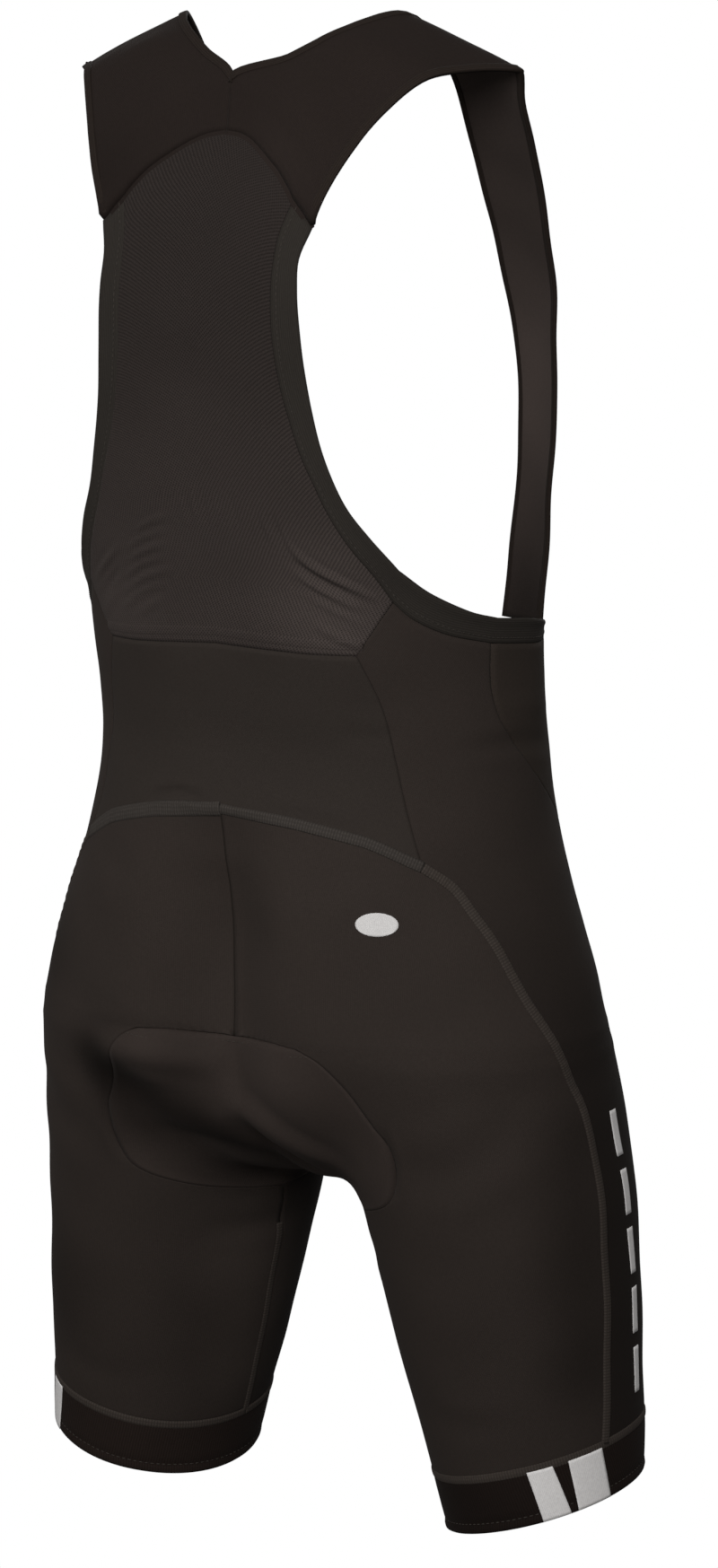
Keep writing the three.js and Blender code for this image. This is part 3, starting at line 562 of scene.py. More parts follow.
CREASES: tuple[Crease, ...] = (
    # Fine wrinkles of the mesh on the wearer's left
    Crease(((60, 104, -304), (44, 112, -296), (25, 115, -290)), 1.8, 1.5),
    Crease(((64, 102, -313), (46, 110, -303), (25, 113, -297)), 1.7, 1.3),
    Crease(((68, 99, -322), (46, 108, -311), (23, 112, -304)), 1.9, 1.6),
    Crease(((69, 98, -331), (50, 105, -319), (28, 110, -312)), 1.8, 1.3),
    Crease(((49, 113, -285), (37, 116, -279), (20, 118, -274)), 1.6, 1.2),
    Crease(((58, 108, -296), (42, 114, -288), (24, 117, -283)), 1.5, 1.1),
    Crease(((62, 102, -338), (46, 105, -328), (30, 108, -321)), 1.8, 1.0),
    # and in its middle
    Crease(((6, 119, -252), (4, 119, -266), (1, 117, -283)), 1.3, 1.0),
    Crease(((-2, 119, -255), (-4, 118, -268), (-7, 117, -282)), 1.3, -0.9),
    Crease(((14, 119, -258), (12, 118, -270), (9, 117, -282)), 1.3, 0.9),
    Crease(((-10, 119, -254), (-12, 118, -266), (-16, 117, -280)), 1.2, 0.8),
    Crease(((-22, 119, -258), (-24, 118, -270), (-28, 116, -284)), 1.3, -0.8),
    Crease(((-40, 117, -266), (-43, 116, -278), (-48, 114, -292)), 1.4, 1.1),
    Crease(((-47, 116, -268), (-50, 114, -280), (-56, 111, -293)), 1.4, -1.1),
    Crease(((-34, 118, -268), (-37, 117, -279), (-41, 115, -290)), 1.3, 0.9),
    # Tension folds that run to the mesh's corners
    Crease(((-52, 112, -284), (-66, 107, -297), (-82, 98, -307), (-98, 87, -317)), 1.9, 2.0),
    Crease(((-54, 110, -294), (-69, 104, -305), (-86, 94, -315)), 1.8, -1.6),
    Crease(((-56, 108, -302), (-71, 101, -312), (-90, 90, -323)), 1.8, 1.8),
    Crease(((-58, 105, -312), (-72, 98, -321), (-90, 88, -331)), 1.8, 1.2),
    Crease(((-46, 112, -300), (-58, 107, -312), (-70, 101, -320)), 1.6, -1.0),
    Crease(((-62, 100, -330), (-76, 94, -338), (-90, 85, -343)), 2.2, 1.1),
    Crease(((-60, 110, -276), (-72, 105, -286), (-82, 100, -296)), 1.6, 1.0),
    Crease(((60, 108, -292), (76, 101, -303), (95, 88, -316)), 2.0, 1.5),
    Crease(((64, 104, -306), (78, 97, -316), (92, 88, -327)), 1.9, -1.2),
    Crease(((66, 100, -318), (80, 93, -328), (90, 86, -336)), 1.9, 1.0),
    # Fold above the waist seam, and its fainter fellow
    Crease(((56, 94, -438), (44, 97, -433.5), (30, 99, -431), (12, 99, -434)), 2.6, -2.4),
    Crease(((-24, 100, -436), (-52, 96, -439), (-92, 84, -449)), 4.0, -0.8),
    Crease(((-70, 86, -392), (-88, 77, -394), (-102, 66, -390)), 4.5, -0.7),
    # Seat and thigh
    Crease(((-97, 82, -612), (-99, 74, -633), (-94, 67, -656)), 3.6, -2.4),
    Crease(((97, 82, -612), (99, 74, -633), (94, 67, -656)), 3.6, -2.0),
    Crease(((-100, 75, -632), (-131, 72, -633), (-152, 63, -622), (-168, 48, -604)), 12, -1.6),
    Crease(((104, 76, -636), (134, 71, -634), (156, 60, -620), (170, 44, -606)), 12, -1.4),
    Crease(((-60, 98, -478), (-84, 96, -470), (-108, 84, -474)), 9, -0.8),
    Crease(((58, 100, -486), (82, 98, -474), (104, 86, -470)), 9, -0.8),
    # Lower edge of the pad's lobes, with the hollow under them
    Crease(((92, 92, -584), (72, 101, -581), (54, 103, -580), (32, 98, -581), (6, 89, -585)), 7, 2.6),
    Crease(((96, 84, -604), (65, 88, -606), (35, 88, -608), (8, 82, -612)), 13, -5.6),
    Crease(((90, 74, -626), (55, 66, -632), (25, 62, -638), (0, 54, -646), (-14, 30, -658)), 18, -3.6),
    Crease(((6, 88, -592), (1, 82, -609), (-20, 80, -617), (-44, 66, -632), (-60, 52, -650)), 7, 2.8),
    Crease(((14, 78, -618), (-1, 68, -632), (-16, 58, -640), (-26, 34, -654)), 8, -3.8),
    # Groin and front of the waist
    Crease(((44, -92, -606), (92, -100, -578), (140, -76, -548)), 7, -2.4),
    Crease(((-46, -92, -600), (-96, -100, -574), (-146, -72, -540)), 8, -2.2),
    Crease(((50, -82, -640), (96, -98, -616), (146, -74, -592)), 7, -1.7),
    Crease(((-48, -84, -634), (-100, -98, -606), (-150, -68, -586)), 6, -1.9),
    Crease(((30, -100, -546), (66, -98, -530), (108, -86, -520)), 7, -1.2),
    Crease(((-66, -86, -396), (-8, -97, -402), (58, -90, -397)), 6, -1.3),
    Crease(((-50, -92, -418), (20, -99, -424), (88, -80, -414)), 7, -1.0),
    Crease(((-30, -90, -372), (10, -92, -378), (54, -84, -374)), 5, 0.7),
    # Flanks at the waist
    Crease(((120, 44, -398), (138, 4, -404), (126, -42, -411)), 5, -1.2),
    Crease(((-118, 48, -402), (-138, 8, -400), (-128, -38, -406)), 5, -1.1),
    Crease(((118, 40, -420), (139, 2, -428), (132, -30, -432)), 6, -0.8),
    Crease(((-116, 40, -378), (-137, 2, -380), (-126, -40, -386)), 5, 0.6),
    # Inner thigh and above the leg bands
    Crease(((36, -40, -690), (42, 6, -698), (62, 36, -694)), 6, -1.1),
    Crease(((-36, -36, -694), (-42, 10, -700), (-64, 38, -690)), 6, -1.0),
    Crease(((88, 40, -786), (122, 52, -792), (162, 38, -778)), 7, -0.7),
    Crease(((-90, 40, -778), (-124, 52, -784), (-164, 34, -776)), 7, -0.7),
    Crease(((96, -70, -760), (126, -88, -770), (164, -66, -764)), 7, -0.7),
    Crease(((-98, -72, -768), (-128, -88, -762), (-166, -62, -770)), 7, -0.7),
    # Yoke and straps
    Crease(((-86, 98, -78), (-64, 92, -52), (-44, 76, -32)), 7, -1.3),
    Crease(((-74, 106, -92), (-48, 97, -68), (-22, 88, -50)), 8, -1.0),
    Crease(((84, 98, -80), (60, 92, -54), (40, 76, -30)), 7, -1.1),
    Crease(((110, 70, -50), (96, 62, -30), (80, 50, -16)), 6, -0.8),
    Crease(((-112, 68, -50), (-98, 60, -30), (-82, 46, -14)), 6, -0.8),
)


@dataclass(frozen=True)
class Pucker:
    """Small ripples that a sewn seam draws into the cloth beside it."""

    line: Array
    pitch: float = 6.5
    reach: float = 4.5
    height: float = 0.2


def nearest(p: Array, line: Array) -> tuple[Array, Array]:
    """Distance of points from a line, and the length along it of their nearest place."""
    a, step = line[:-1], np.diff(line, axis=0)
    length = np.maximum((step**2).sum(1), 1e-9)
    t = np.clip(((p[:, None] - a[None]) * step[None]).sum(2) / length, 0, 1)
    gap = np.linalg.norm(p[:, None] - a[None] - step[None] * t[..., None], axis=2)
    best = gap.argmin(1)
    rows = np.arange(len(p))
    return gap[rows, best], run_of(line)[best] + t[rows, best] * np.sqrt(length[best])


class Relief:
    """Height of the cloth over the form: slow waves, listed folds and puckers."""

    def __init__(self, creases: tuple[Crease, ...]) -> None:
        """Keep the folds as smooth lines."""
        self.folds = [(smooth_line(np.array(c.run, float), 8), c) for c in creases]
        self.puckers: list[Pucker] = []

    def height(self, p: Array) -> Array:
        """Height over the form at points, in millimetres."""
        flat = p.reshape(-1, 3)
        total = 0.22 * np.sin(flat @ np.array([0.071, 0.02, 0.093]) + 1.0)
        total += 0.18 * np.sin(flat @ np.array([-0.052, 0.061, 0.12]) + 2.2)
        for line, fold in self.folds:
            self._add(total, flat, line, 3.6 * fold.width, lambda d, a, n, f=fold: self._fold(f, d, a / n))
        for pucker in self.puckers:
            margin = 2.4 * pucker.reach
            self._add(total, flat, pucker.line, margin, lambda d, a, n, k=pucker: self._ripple(k, d, a))
        return total.reshape(p.shape[:-1])

    def _add(self, total: Array, p: Array, line: Array, margin: float, shape: Callable) -> None:
        """Add one line's relief to the points that lie near it."""
        near = np.all((p > line.min(0) - margin) & (p < line.max(0) + margin), axis=1)
        if near.any():
            gap, along = nearest(p[near], line)
            total[near] += shape(gap, along, run_of(line)[-1])

    @staticmethod
    def _fold(fold: Crease, gap: Array, share: Array) -> Array:
        """Cross section of a fold, fading towards its ends."""
        taper = np.sin(np.pi * np.clip(share, 0, 1)) ** 0.7
        core = np.exp(-((gap / fold.width) ** 2))
        shoulder = np.exp(-(((gap - 1.9 * fold.width) / (0.8 * fold.width)) ** 2))
        return fold.height * taper * (core - 0.3 * shoulder)

    @staticmethod
    def _ripple(pucker: Pucker, gap: Array, along: Array) -> Array:
        """Ripples that fade away from the seam."""
        phase = 2 * np.pi * along / pucker.pitch + 1.3 * np.sin(along / 23.0)
        return pucker.height * np.exp(-((gap / pucker.reach) ** 2)) * np.sin(phase)


# Finishes


def linear(colour: str) -> tuple[float, float, float, float]:
    """Linear colour of an sRGB hex value."""
    parts = [int(colour[k : k + 2], 16) / 255 for k in (1, 3, 5)]
    values = [v / 12.92 if v <= 0.04045 else ((v + 0.055) / 1.055) ** 2.4 for v in parts]
    return (*values, 1.0)


class Nodes:
    """A node tree that is filled node by node."""

    def __init__(self, tree: bpy.types.NodeTree) -> None:
        """Start from an empty tree."""
        self.tree = tree
        tree.nodes.clear()

    def add(self, kind: str, inputs: dict | None = None, **settings) -> bpy.types.Node:
        """Add one node.

        Args:
            kind: Node type without its ShaderNode prefix.
            inputs: Values and sockets by input name or number.
            settings: Node settings.

        Returns:
            The new node.
        """
        node = self.tree.nodes.new("ShaderNode" + kind)
        for name, value in settings.items():
            setattr(node, name, value)
        for key, value in (inputs or {}).items():
            if isinstance(value, bpy.types.NodeSocket):
                self.tree.links.new(value, node.inputs[key])
            else:
                node.inputs[key].default_value = value
        return node

    def math(self, operation: str, a: Input, b: Input = 0.0, c: Input = 0.0) -> bpy.types.NodeSocket:
        """Result of a Math node."""
        return self.add("Math", {0: a, 1: b, 2: c}, operation=operation).outputs[0]

    def times(self, a: Input, b: Input) -> bpy.types.NodeSocket:
        """Product of two values."""
        return self.math("MULTIPLY", a, b)

    def soft_step(self, value: Input, low: float, high: float, first: float) -> bpy.types.NodeSocket:
        """Smooth passage from a first value at the low end to one at the high end."""
        ends = {0: value, 1: low, 2: high, 3: first, 4: 1.0}
        return self.add("MapRange", ends, interpolation_type="SMOOTHSTEP").outputs[0]


class Weave(Enum):
    """Surface pattern of a cloth."""

    FINE_KNIT = "fine knit"
    OPEN_MESH = "open mesh"
    RIB = "rib"
    OVERSEAM = "overseam"


@dataclass(frozen=True)
class PaintedLightAndShade:
    """A stretch of painted shade (tone below one) or painted light (tone above one) on the cloth: points it
    runs through, its reach, its tone and its spots.
    """

    run: Rows
    reach: float
    tone: float
    spots: int = 1

    def places(self) -> Array:
        """Middles of the soft spots that make it up."""
        line = np.array(self.run, float)
        return line if len(line) == 1 else spaced(line, run_of(line), even(self.spots - 1))


@dataclass(frozen=True)
class ClothFinish:
    """Colour, pattern and sheen of one cloth, with its painted light and painted shade."""

    name: str
    colour: str
    weave: Weave
    pitch: float = 1.1
    bump: float = 0.06
    roughness: float = 0.8
    sheen: float = 0.02
    unevenness: float = 0.10
    # Painted light and painted shade in soft spots, and painted shade that fades with height
    painted_light_and_shade: tuple[PaintedLightAndShade, ...] = ()
    painted_shade_fade: tuple[float, float, float] = (0.0, -1.0, 1.0)
    cloud_scale: float = 14.0
    grain_scale: float = 620.0
    grain_depth: float = 0.24
    gloss: float = 0.04
    sheen_tint: tuple[float, float, float, float] = (1.0, 0.94, 0.88, 1.0)

    def material(self) -> bpy.types.Material:
        """The finish as a node material, made once."""
        found = bpy.data.materials.get(self.name)
        if found:
            return found
        made = bpy.data.materials.new(self.name)
        made.use_nodes = True
        nodes = Nodes(made.node_tree)
        flat = nodes.add("UVMap", uv_map="cut").outputs[0]
        place = nodes.add("TexCoord").outputs["Object"]
        relief, shade = self._pattern(nodes, flat)
        cloud = nodes.add("TexNoise", {"Vector": place, "Scale": self.cloud_scale, "Detail": 3.0}).outputs[0]
        grain = nodes.add("TexNoise", {"Vector": place, "Scale": self.grain_scale, "Detail": 2.0}).outputs[0]
        tone = nodes.math("MULTIPLY_ADD", cloud, 2.0 * self.unevenness, 1.0 - self.unevenness)
        speckle = nodes.math("MULTIPLY_ADD", grain, self.grain_depth, 1.0 - self.grain_depth / 2)
        tone = nodes.times(nodes.times(tone, speckle), shade)
        # Painted shade: the cloth darkens towards one end of a span of heights
        high, low, foot = self.painted_shade_fade
        level = nodes.add("SeparateXYZ", {0: place}).outputs[2]
        tone = nodes.times(tone, nodes.soft_step(level, low * MM, high * MM, foot))
        # Painted light and painted shade: soft spots that make the cloth paler where light falls and darker
        # where shadow falls
        for painted_patch in self.painted_light_and_shade:
            for spot in to_row_frame(painted_patch.places()):
                gap = nodes.add("VectorMath", {0: place, 1: tuple(spot)}, operation="DISTANCE")
                step = nodes.soft_step(gap.outputs["Value"], 0.0, painted_patch.reach * MM, painted_patch.tone)
                tone = nodes.times(tone, step)
        grey = nodes.add("CombineColor", {0: tone, 1: tone, 2: tone}).outputs[0]
        mixed = {0: 1.0, 6: linear(self.colour), 7: grey}
        base = nodes.add("Mix", mixed, data_type="RGBA", blend_type="MULTIPLY").outputs[2]
        rough = nodes.math("MULTIPLY_ADD", cloud, 0.16, self.roughness - 0.08)
        height = nodes.math("ADD", relief, nodes.math("MULTIPLY", grain, 0.35))
        bump = nodes.add("Bump", {"Height": height, "Strength": 0.7, "Distance": self.bump * MM})
        shader = nodes.add(
            "BsdfPrincipled",
            {
                "Base Color": base,
                "Roughness": rough,
                "Normal": bump.outputs[0],
                "Specular IOR Level": self.gloss,
                "Sheen Weight": self.sheen,
                "Sheen Roughness": 0.45,
                "Sheen Tint": self.sheen_tint,
            },
        )
        nodes.add("OutputMaterial", {"Surface": shader.outputs[0]})
        return made

    def _wave(self, nodes: Nodes, flat: Input, pitch: float, direction: str) -> bpy.types.NodeSocket:
        """Bands of a pitch in millimetres on the flat cloth."""
        scale = 2 * math.pi / (WAVE_RATE * pitch * MM)
        bands = {"Vector": flat, "Scale": scale, "Distortion": 0.0}
        wave = nodes.add("TexWave", bands, bands_direction=direction, wave_profile="SIN")
        return wave.outputs["Fac"]

    def _pattern(self, nodes: Nodes, flat: Input) -> tuple[bpy.types.NodeSocket, bpy.types.NodeSocket]:
        """Height and shade of the cloth's pattern."""
        if self.weave is Weave.OPEN_MESH:
            turned = nodes.add("Mapping", {"Vector": flat, "Rotation": (0, 0, math.radians(45))}).outputs[0]
            cells = nodes.add(
                "TexVoronoi",
                {"Vector": turned, "Scale": 1 / (self.pitch * MM), "Randomness": 0.12},
                voronoi_dimensions="2D",
            ).outputs["Distance"]
            solid = nodes.add("MapRange", {0: cells, 1: 0.22, 2: 0.40, 3: 0.0, 4: 1.0}).outputs[0]
            return solid, nodes.math("MULTIPLY_ADD", solid, 0.62, 0.55)
        if self.weave is Weave.OVERSEAM:
            loops = self._wave(nodes, flat, self.pitch, "Y")
            cords = self._wave(nodes, flat, 2.3, "X")
            both = nodes.math("MULTIPLY", loops, nodes.math("MULTIPLY_ADD", cords, 0.6, 0.4))
            return both, nodes.math("MULTIPLY_ADD", both, 0.5, 0.78)
        if self.weave is Weave.RIB:
            ribs = self._wave(nodes, flat, self.pitch, "X")
            return ribs, nodes.math("MULTIPLY_ADD", ribs, 0.3, 0.85)
        wales = self._wave(nodes, flat, self.pitch, "X")
        courses = self._wave(nodes, flat, self.pitch * 0.8, "Y")
        both = nodes.math("MULTIPLY", wales, nodes.math("MULTIPLY_ADD", courses, 0.5, 0.5))
        return both, nodes.math("MULTIPLY_ADD", both, 0.16, 0.95)


# Painted light and painted shade on the seat, the pad and the legs
PAINTED_LIGHT_AND_SHADE_ON_SEAT_AND_PAD: tuple[PaintedLightAndShade, ...] = (
    # Painted shadow in the hollow under the wearer's left lobe of the pad
    PaintedLightAndShade(((90, 90, -595), (60, 82, -615), (30, 78, -622), (5, 50, -645)), 28, 0.50, 6),
    PaintedLightAndShade(((75, 84, -610), (45, 80, -620)), 35, 0.78, 2),
    PaintedLightAndShade(((30, -20, -670),), 20, 0.5),
    # The painted shadow's soft lower edge on the leg
    PaintedLightAndShade(((100, 90, -590), (90, 78, -622), (55, 48, -650), (40, 25, -660)), 27, 0.66, 6),
    # Painted shade on the left lobe of the pad, and painted light on the right lobe and on the hollow between
    # the seat rounds
    PaintedLightAndShade(((30, 100, -580),), 26, 0.84),
    PaintedLightAndShade(((-40, 100, -590),), 34, 1.12),
    PaintedLightAndShade(((-15, 90, -540),), 50, 1.12),
    # Painted shade at the outer left of the seat and of the leg
    PaintedLightAndShade(((145, 60, -535),), 56, 0.66),
    PaintedLightAndShade(((160, 30, -735),), 66, 0.66),
    # Painted light on the inner side of the left leg, and painted shade on the right leg before the side seam
    PaintedLightAndShade(((50, 5, -725), (45, 0, -785)), 48, 1.6, 2),
    PaintedLightAndShade(((-180, 15, -615), (-185, 20, -680), (-187, 15, -745)), 43, 0.71, 4),
)
# Painted light on the inner side of the wearer's left thigh
PAINTED_LIGHT_ON_INNER_THIGH: tuple[PaintedLightAndShade, ...] = (PaintedLightAndShade(((50, 5, -725),), 70, 2.6), PaintedLightAndShade(((65, -5, -785),), 60, 1.8))
# Painted light on the left leg band and painted shade on the right one
PAINTED_LIGHT_AND_SHADE_ON_LEG_BANDS: tuple[PaintedLightAndShade, ...] = (PaintedLightAndShade(((110, 20, -830),), 100, 1.35), PaintedLightAndShade(((-110, 20, -830),), 100, 0.74))
# Painted light on the mesh's lower corners, where light shows through it
PAINTED_LIGHT_ON_MESH_CORNERS: tuple[PaintedLightAndShade, ...] = (PaintedLightAndShade(((-74, 98, -322),), 60, 1.48), PaintedLightAndShade(((74, 98, -322),), 56, 1.2))
# Painted shade on the left of the yoke and painted light on its right
PAINTED_LIGHT_AND_SHADE_ON_YOKE: tuple[PaintedLightAndShade, ...] = (PaintedLightAndShade(((66, 102, -92),), 60, 0.84), PaintedLightAndShade(((-34, 98, -84),), 50, 1.18))
# Painted light inside both straps, and painted shade at the right strap's foot
PAINTED_LIGHT_AND_SHADE_INSIDE_STRAPS: tuple[PaintedLightAndShade, ...] = (
    PaintedLightAndShade(((-104, -62, -200),), 90, 1.7),
    PaintedLightAndShade(((104, -62, -200),), 90, 1.5),
    PaintedLightAndShade(((-100, -60, -345),), 80, 0.42),
)
# Painted shade that fades down a cloth: height where one begins, height where it ends, tone at its foot
PAINTED_SHADE_UP_THE_MESH: tuple[float, float, float] = (-330.0, -130.0, 0.64)
PAINTED_SHADE_DOWN_THE_LEG: tuple[float, float, float] = (-580.0, -760.0, 0.82)
PAINTED_SHADE_DOWN_THE_SIDE: tuple[float, float, float] = (-400.0, -640.0, 0.44)
PAINTED_SHADE_DOWN_THE_SEAM: tuple[float, float, float] = (-380.0, -660.0, 0.86)


@dataclass(frozen=True)
class Wardrobe:
    """Every finish on the garment."""

    yoke: ClothFinish = ClothFinish("yoke_finish", "#2e2724", Weave.FINE_KNIT, 1.2, painted_light_and_shade=PAINTED_LIGHT_AND_SHADE_ON_YOKE)
    # Inner face of the straps: the yoke cloth made paler as painted light, with more painted light and shade
    # in spots
    painted_light_inside: ClothFinish = ClothFinish(
        "strap_inside_painted_light_finish", "#4a413d", Weave.FINE_KNIT, 1.2, painted_light_and_shade=PAINTED_LIGHT_AND_SHADE_INSIDE_STRAPS
    )
    mesh: ClothFinish = ClothFinish(
        "mesh_finish",
        "#433c39",
        Weave.OPEN_MESH,
        1.5,
        0.14,
        sheen=0.03,
        painted_light_and_shade=PAINTED_LIGHT_ON_MESH_CORNERS,
        painted_shade_fade=PAINTED_SHADE_UP_THE_MESH,
    )
    binding: ClothFinish = ClothFinish("binding_finish", "#37332f", Weave.RIB, 1.3, 0.08)
    main: ClothFinish = ClothFinish(
        "main_finish", "#3b3430", Weave.FINE_KNIT, 1.0, painted_light_and_shade=PAINTED_LIGHT_AND_SHADE_ON_SEAT_AND_PAD, painted_shade_fade=PAINTED_SHADE_DOWN_THE_LEG
    )
    lower: ClothFinish = ClothFinish("waist_finish", "#3a3430", Weave.FINE_KNIT, 1.0)
    side: ClothFinish = ClothFinish(
        "side_finish", "#3b3430", Weave.FINE_KNIT, 1.0, painted_light_and_shade=PAINTED_LIGHT_ON_INNER_THIGH, painted_shade_fade=PAINTED_SHADE_DOWN_THE_SIDE
    )
    bib: ClothFinish = ClothFinish("bib_finish", "#3a332e", Weave.FINE_KNIT, 1.1)
    pad: ClothFinish = ClothFinish("pad_finish", "#403834", Weave.FINE_KNIT, 1.0, painted_light_and_shade=PAINTED_LIGHT_AND_SHADE_ON_SEAT_AND_PAD)
    gripper: ClothFinish = ClothFinish("gripper_finish", "#241d1a", Weave.RIB, 1.6, 0.10, painted_light_and_shade=PAINTED_LIGHT_AND_SHADE_ON_LEG_BANDS)
    overseam: ClothFinish = ClothFinish("overseam_finish", "#46413d", Weave.OVERSEAM, 1.7, 0.22)
    side_seam: ClothFinish = ClothFinish(
        "side_seam_finish", "#48413c", Weave.OVERSEAM, 1.7, 0.18, painted_shade_fade=PAINTED_SHADE_DOWN_THE_SEAM
    )
    edging: ClothFinish = ClothFinish("edging_finish", "#302925", Weave.RIB, 1.3, 0.08)
    thread: ClothFinish = ClothFinish("thread_finish", "#4d4843", Weave.RIB, 0.8, 0.05)
    seam_line: ClothFinish = ClothFinish("seam_line_finish", "#2b2622", Weave.RIB, 0.8, 0.05)
    light_print: ClothFinish = ClothFinish(
        "light_print_finish", "#f4f1ef", Weave.FINE_KNIT, 1.0, 0.04, roughness=0.6, sheen=0.0, unevenness=0.03
    )


# Making cloth


def to_row_frame(points: Array) -> Array:
    """Garment millimetres as metres in the part's own frame."""
    return (points + np.array([0.0, BODY_AXIS_Y, 0.0])) * MM


class Piece:
    """One finished piece of the garment in the scene."""

    def __init__(
        self, name: str, points: Array, outer: Array, finish: ClothFinish, painted_light_inside: ClothFinish | None = None
    ) -> None:
        """Keep the grid of a piece.

        Args:
            name: Name of the piece.
            points: Grid of points in garment millimetres.
            outer: Outward direction at each point.
            finish: Finish that it wears.
            painted_light_inside: Finish of its inner face, where that differs.
        """
        self.name = name
        self.painted_light_inside = painted_light_inside
        self.points = points
        self.outer = outer
        self.finish = finish
        self.object: bpy.types.Object | None = None

    def flat(self) -> Array:
        """Place of each point on the flat cloth, in metres."""
        down = np.linalg.norm(np.diff(self.points, axis=0), axis=2).mean(1)
        wide = np.linalg.norm(np.diff(self.points, axis=1), axis=2)
        v = np.concatenate([[0.0], np.cumsum(down)])[:, None].repeat(self.points.shape[1], 1)
        u = np.concatenate([np.zeros((len(wide), 1)), np.cumsum(wide, axis=1)], axis=1)
        return np.stack([u, -v], axis=-1) * MM

    def make(self, wall: float, offset: float = -1.0, ring: bool = False) -> Piece:
        """Build the mesh from a grid and give it its wall.

        Args:
            wall: Thickness in millimetres.
            offset: Side on which the wall lies: -1 inwards, 0 both.
            ring: Whether the last column meets the first.

        Returns:
            The piece itself.
        """
        rows, cols = self.points.shape[:2]
        places, flat = to_row_frame(self.points), self.flat()
        bm = bmesh.new()
        bmesh.ops.create_grid(bm, x_segments=cols - 1, y_segments=rows - 1, size=1.0)
        layer = bm.loops.layers.uv.new("cut")
        reach = max(vert.co.x for vert in bm.verts)
        cell = {}
        for vert in bm.verts:
            j = round((vert.co.x / reach + 1) / 2 * (cols - 1))
            i = round((1 - vert.co.y / reach) / 2 * (rows - 1))
            cell[vert.index] = (i, j)
            vert.co = places[i, j]
        for face in bm.faces:
            face.smooth = True
            for loop in face.loops:
                loop[layer].uv = flat[cell[loop.vert.index]]
        bm.normal_update()
        tilt = sum(face.normal.dot(Vector(self.outer[cell[face.verts[0].index]])) for face in bm.faces)
        if tilt < 0:
            bmesh.ops.reverse_faces(bm, faces=bm.faces)
        if ring:
            bmesh.ops.remove_doubles(bm, verts=bm.verts, dist=0.00002)
        mesh = bpy.data.meshes.new(self.name)
        bm.to_mesh(mesh)
        bm.free()
        mesh.materials.append(self.finish.material())
        self.object = bpy.data.objects.new(self.name, mesh)
        bpy.context.scene.collection.objects.link(self.object)
        solid = self.object.modifiers.new("wall", "SOLIDIFY")
        solid.thickness = wall * MM
        solid.offset = offset
        solid.use_quality_normals = True
        if self.painted_light_inside:
            mesh.materials.append(self.painted_light_inside.material())
            solid.material_offset = 1
        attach(self.object, "root")
        LOG.info("%s: %d by %d points", self.name, rows, cols)
        return self

    def declare(self, stretch: float, trims: tuple[Piece, ...] = ()) -> None:
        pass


class Workroom:
    """What every sub-assembly works with: the form, the cut, the relief and the finishes."""

    strip_step: float = 2.0

    def __init__(self) -> None:
        """Set up the form, the cut, the finishes and the folds."""
        self.form = WornForm()
        self.cut = Cut(self.form)
        self.relief = Relief(CREASES)
        self.wardrobe = Wardrobe()

    def lay(self, grid: Array, lift: Array | float = 0.0) -> tuple[Array, Array]:
        """Cloth points over a grid of form points, and the outward direction there."""
        outer = self.form.outward(grid)
        height = self.relief.height(grid) + lift
        return grid + outer * height[..., None], outer

    def tuck(self, grid: Array, sides: str, depth: float = 0.24, width: float = 1.8) -> Array:
        """Lift of a panel whose named edges (t, f, n, r) sink into their seams."""
        rows, cols = grid.shape[:2]
        down = np.linalg.norm(np.diff(grid, axis=0), axis=2).mean()
        wide = np.linalg.norm(np.diff(grid, axis=1), axis=2).mean()
        i, j = np.arange(rows)[:, None] * down, np.arange(cols)[None] * wide
        far_i, far_j = (rows - 1) * down - i, (cols - 1) * wide - j
        gaps = {"t": i + 0 * j, "f": far_i + 0 * j, "n": j + 0 * i, "r": far_j + 0 * i}
        lift = np.zeros((rows, cols))
        for side in sides:
            lift -= depth * np.exp(-((gaps[side] / width) ** 2))
        return lift

    def panel(self, name: str, grid: Array, finish: ClothFinish, sides: str, wall: float = 1.4) -> Piece:
        """One panel of cloth in the place of its solid."""
        points, outer = self.lay(grid, self.tuck(grid, sides))
        return Piece(name, points, outer, finish).make(wall)

    def halves(self, grid: Array) -> Array:
        """A half that ends on the centre line, made whole."""
        middle = grid[:, :1] * np.array([0.0, 1.0, 1.0])
        return np.concatenate([mirrored(grid[:, :0:-1]), middle, grid[:, 1:]], axis=1)

    def strip(
        self, name: str, line: Array, width: float, rise: float, finish: ClothFinish, point: float = 0.0
    ) -> Piece:
        """A raised band along a line on the form.

        Args:
            name: Name of the piece.
            line: Points of the form that the band runs along.
            width: Width of the band.
            rise: How far it stands over the cloth.
            finish: Finish that it wears.
            point: Length over which its far end narrows.

        Returns:
            The finished band.
        """
        run = run_of(line)
        count = max(int(run[-1] / self.strip_step), 4)
        spine = spaced(line, run, even(count))
        outer = self.form.outward(spine)
        side = unit(np.cross(outer, np.gradient(spine, axis=0)))
        s = np.linspace(-0.5, 0.5, 9)
        narrow = np.minimum(1, 0.4 + (run[-1] - run_of(spine)) / max(point, 0.001))
        grid = spine[:, None] + side[:, None] * (narrow[:, None] * s * width)[..., None]
        grid = self.form.settle(grid, 5)
        lift = rise * (1 - np.abs(2 * s) ** 4)[None] - 0.25
        points, outer = self.lay(grid, lift)
        return Piece(name, points, outer, finish).make(0.5)


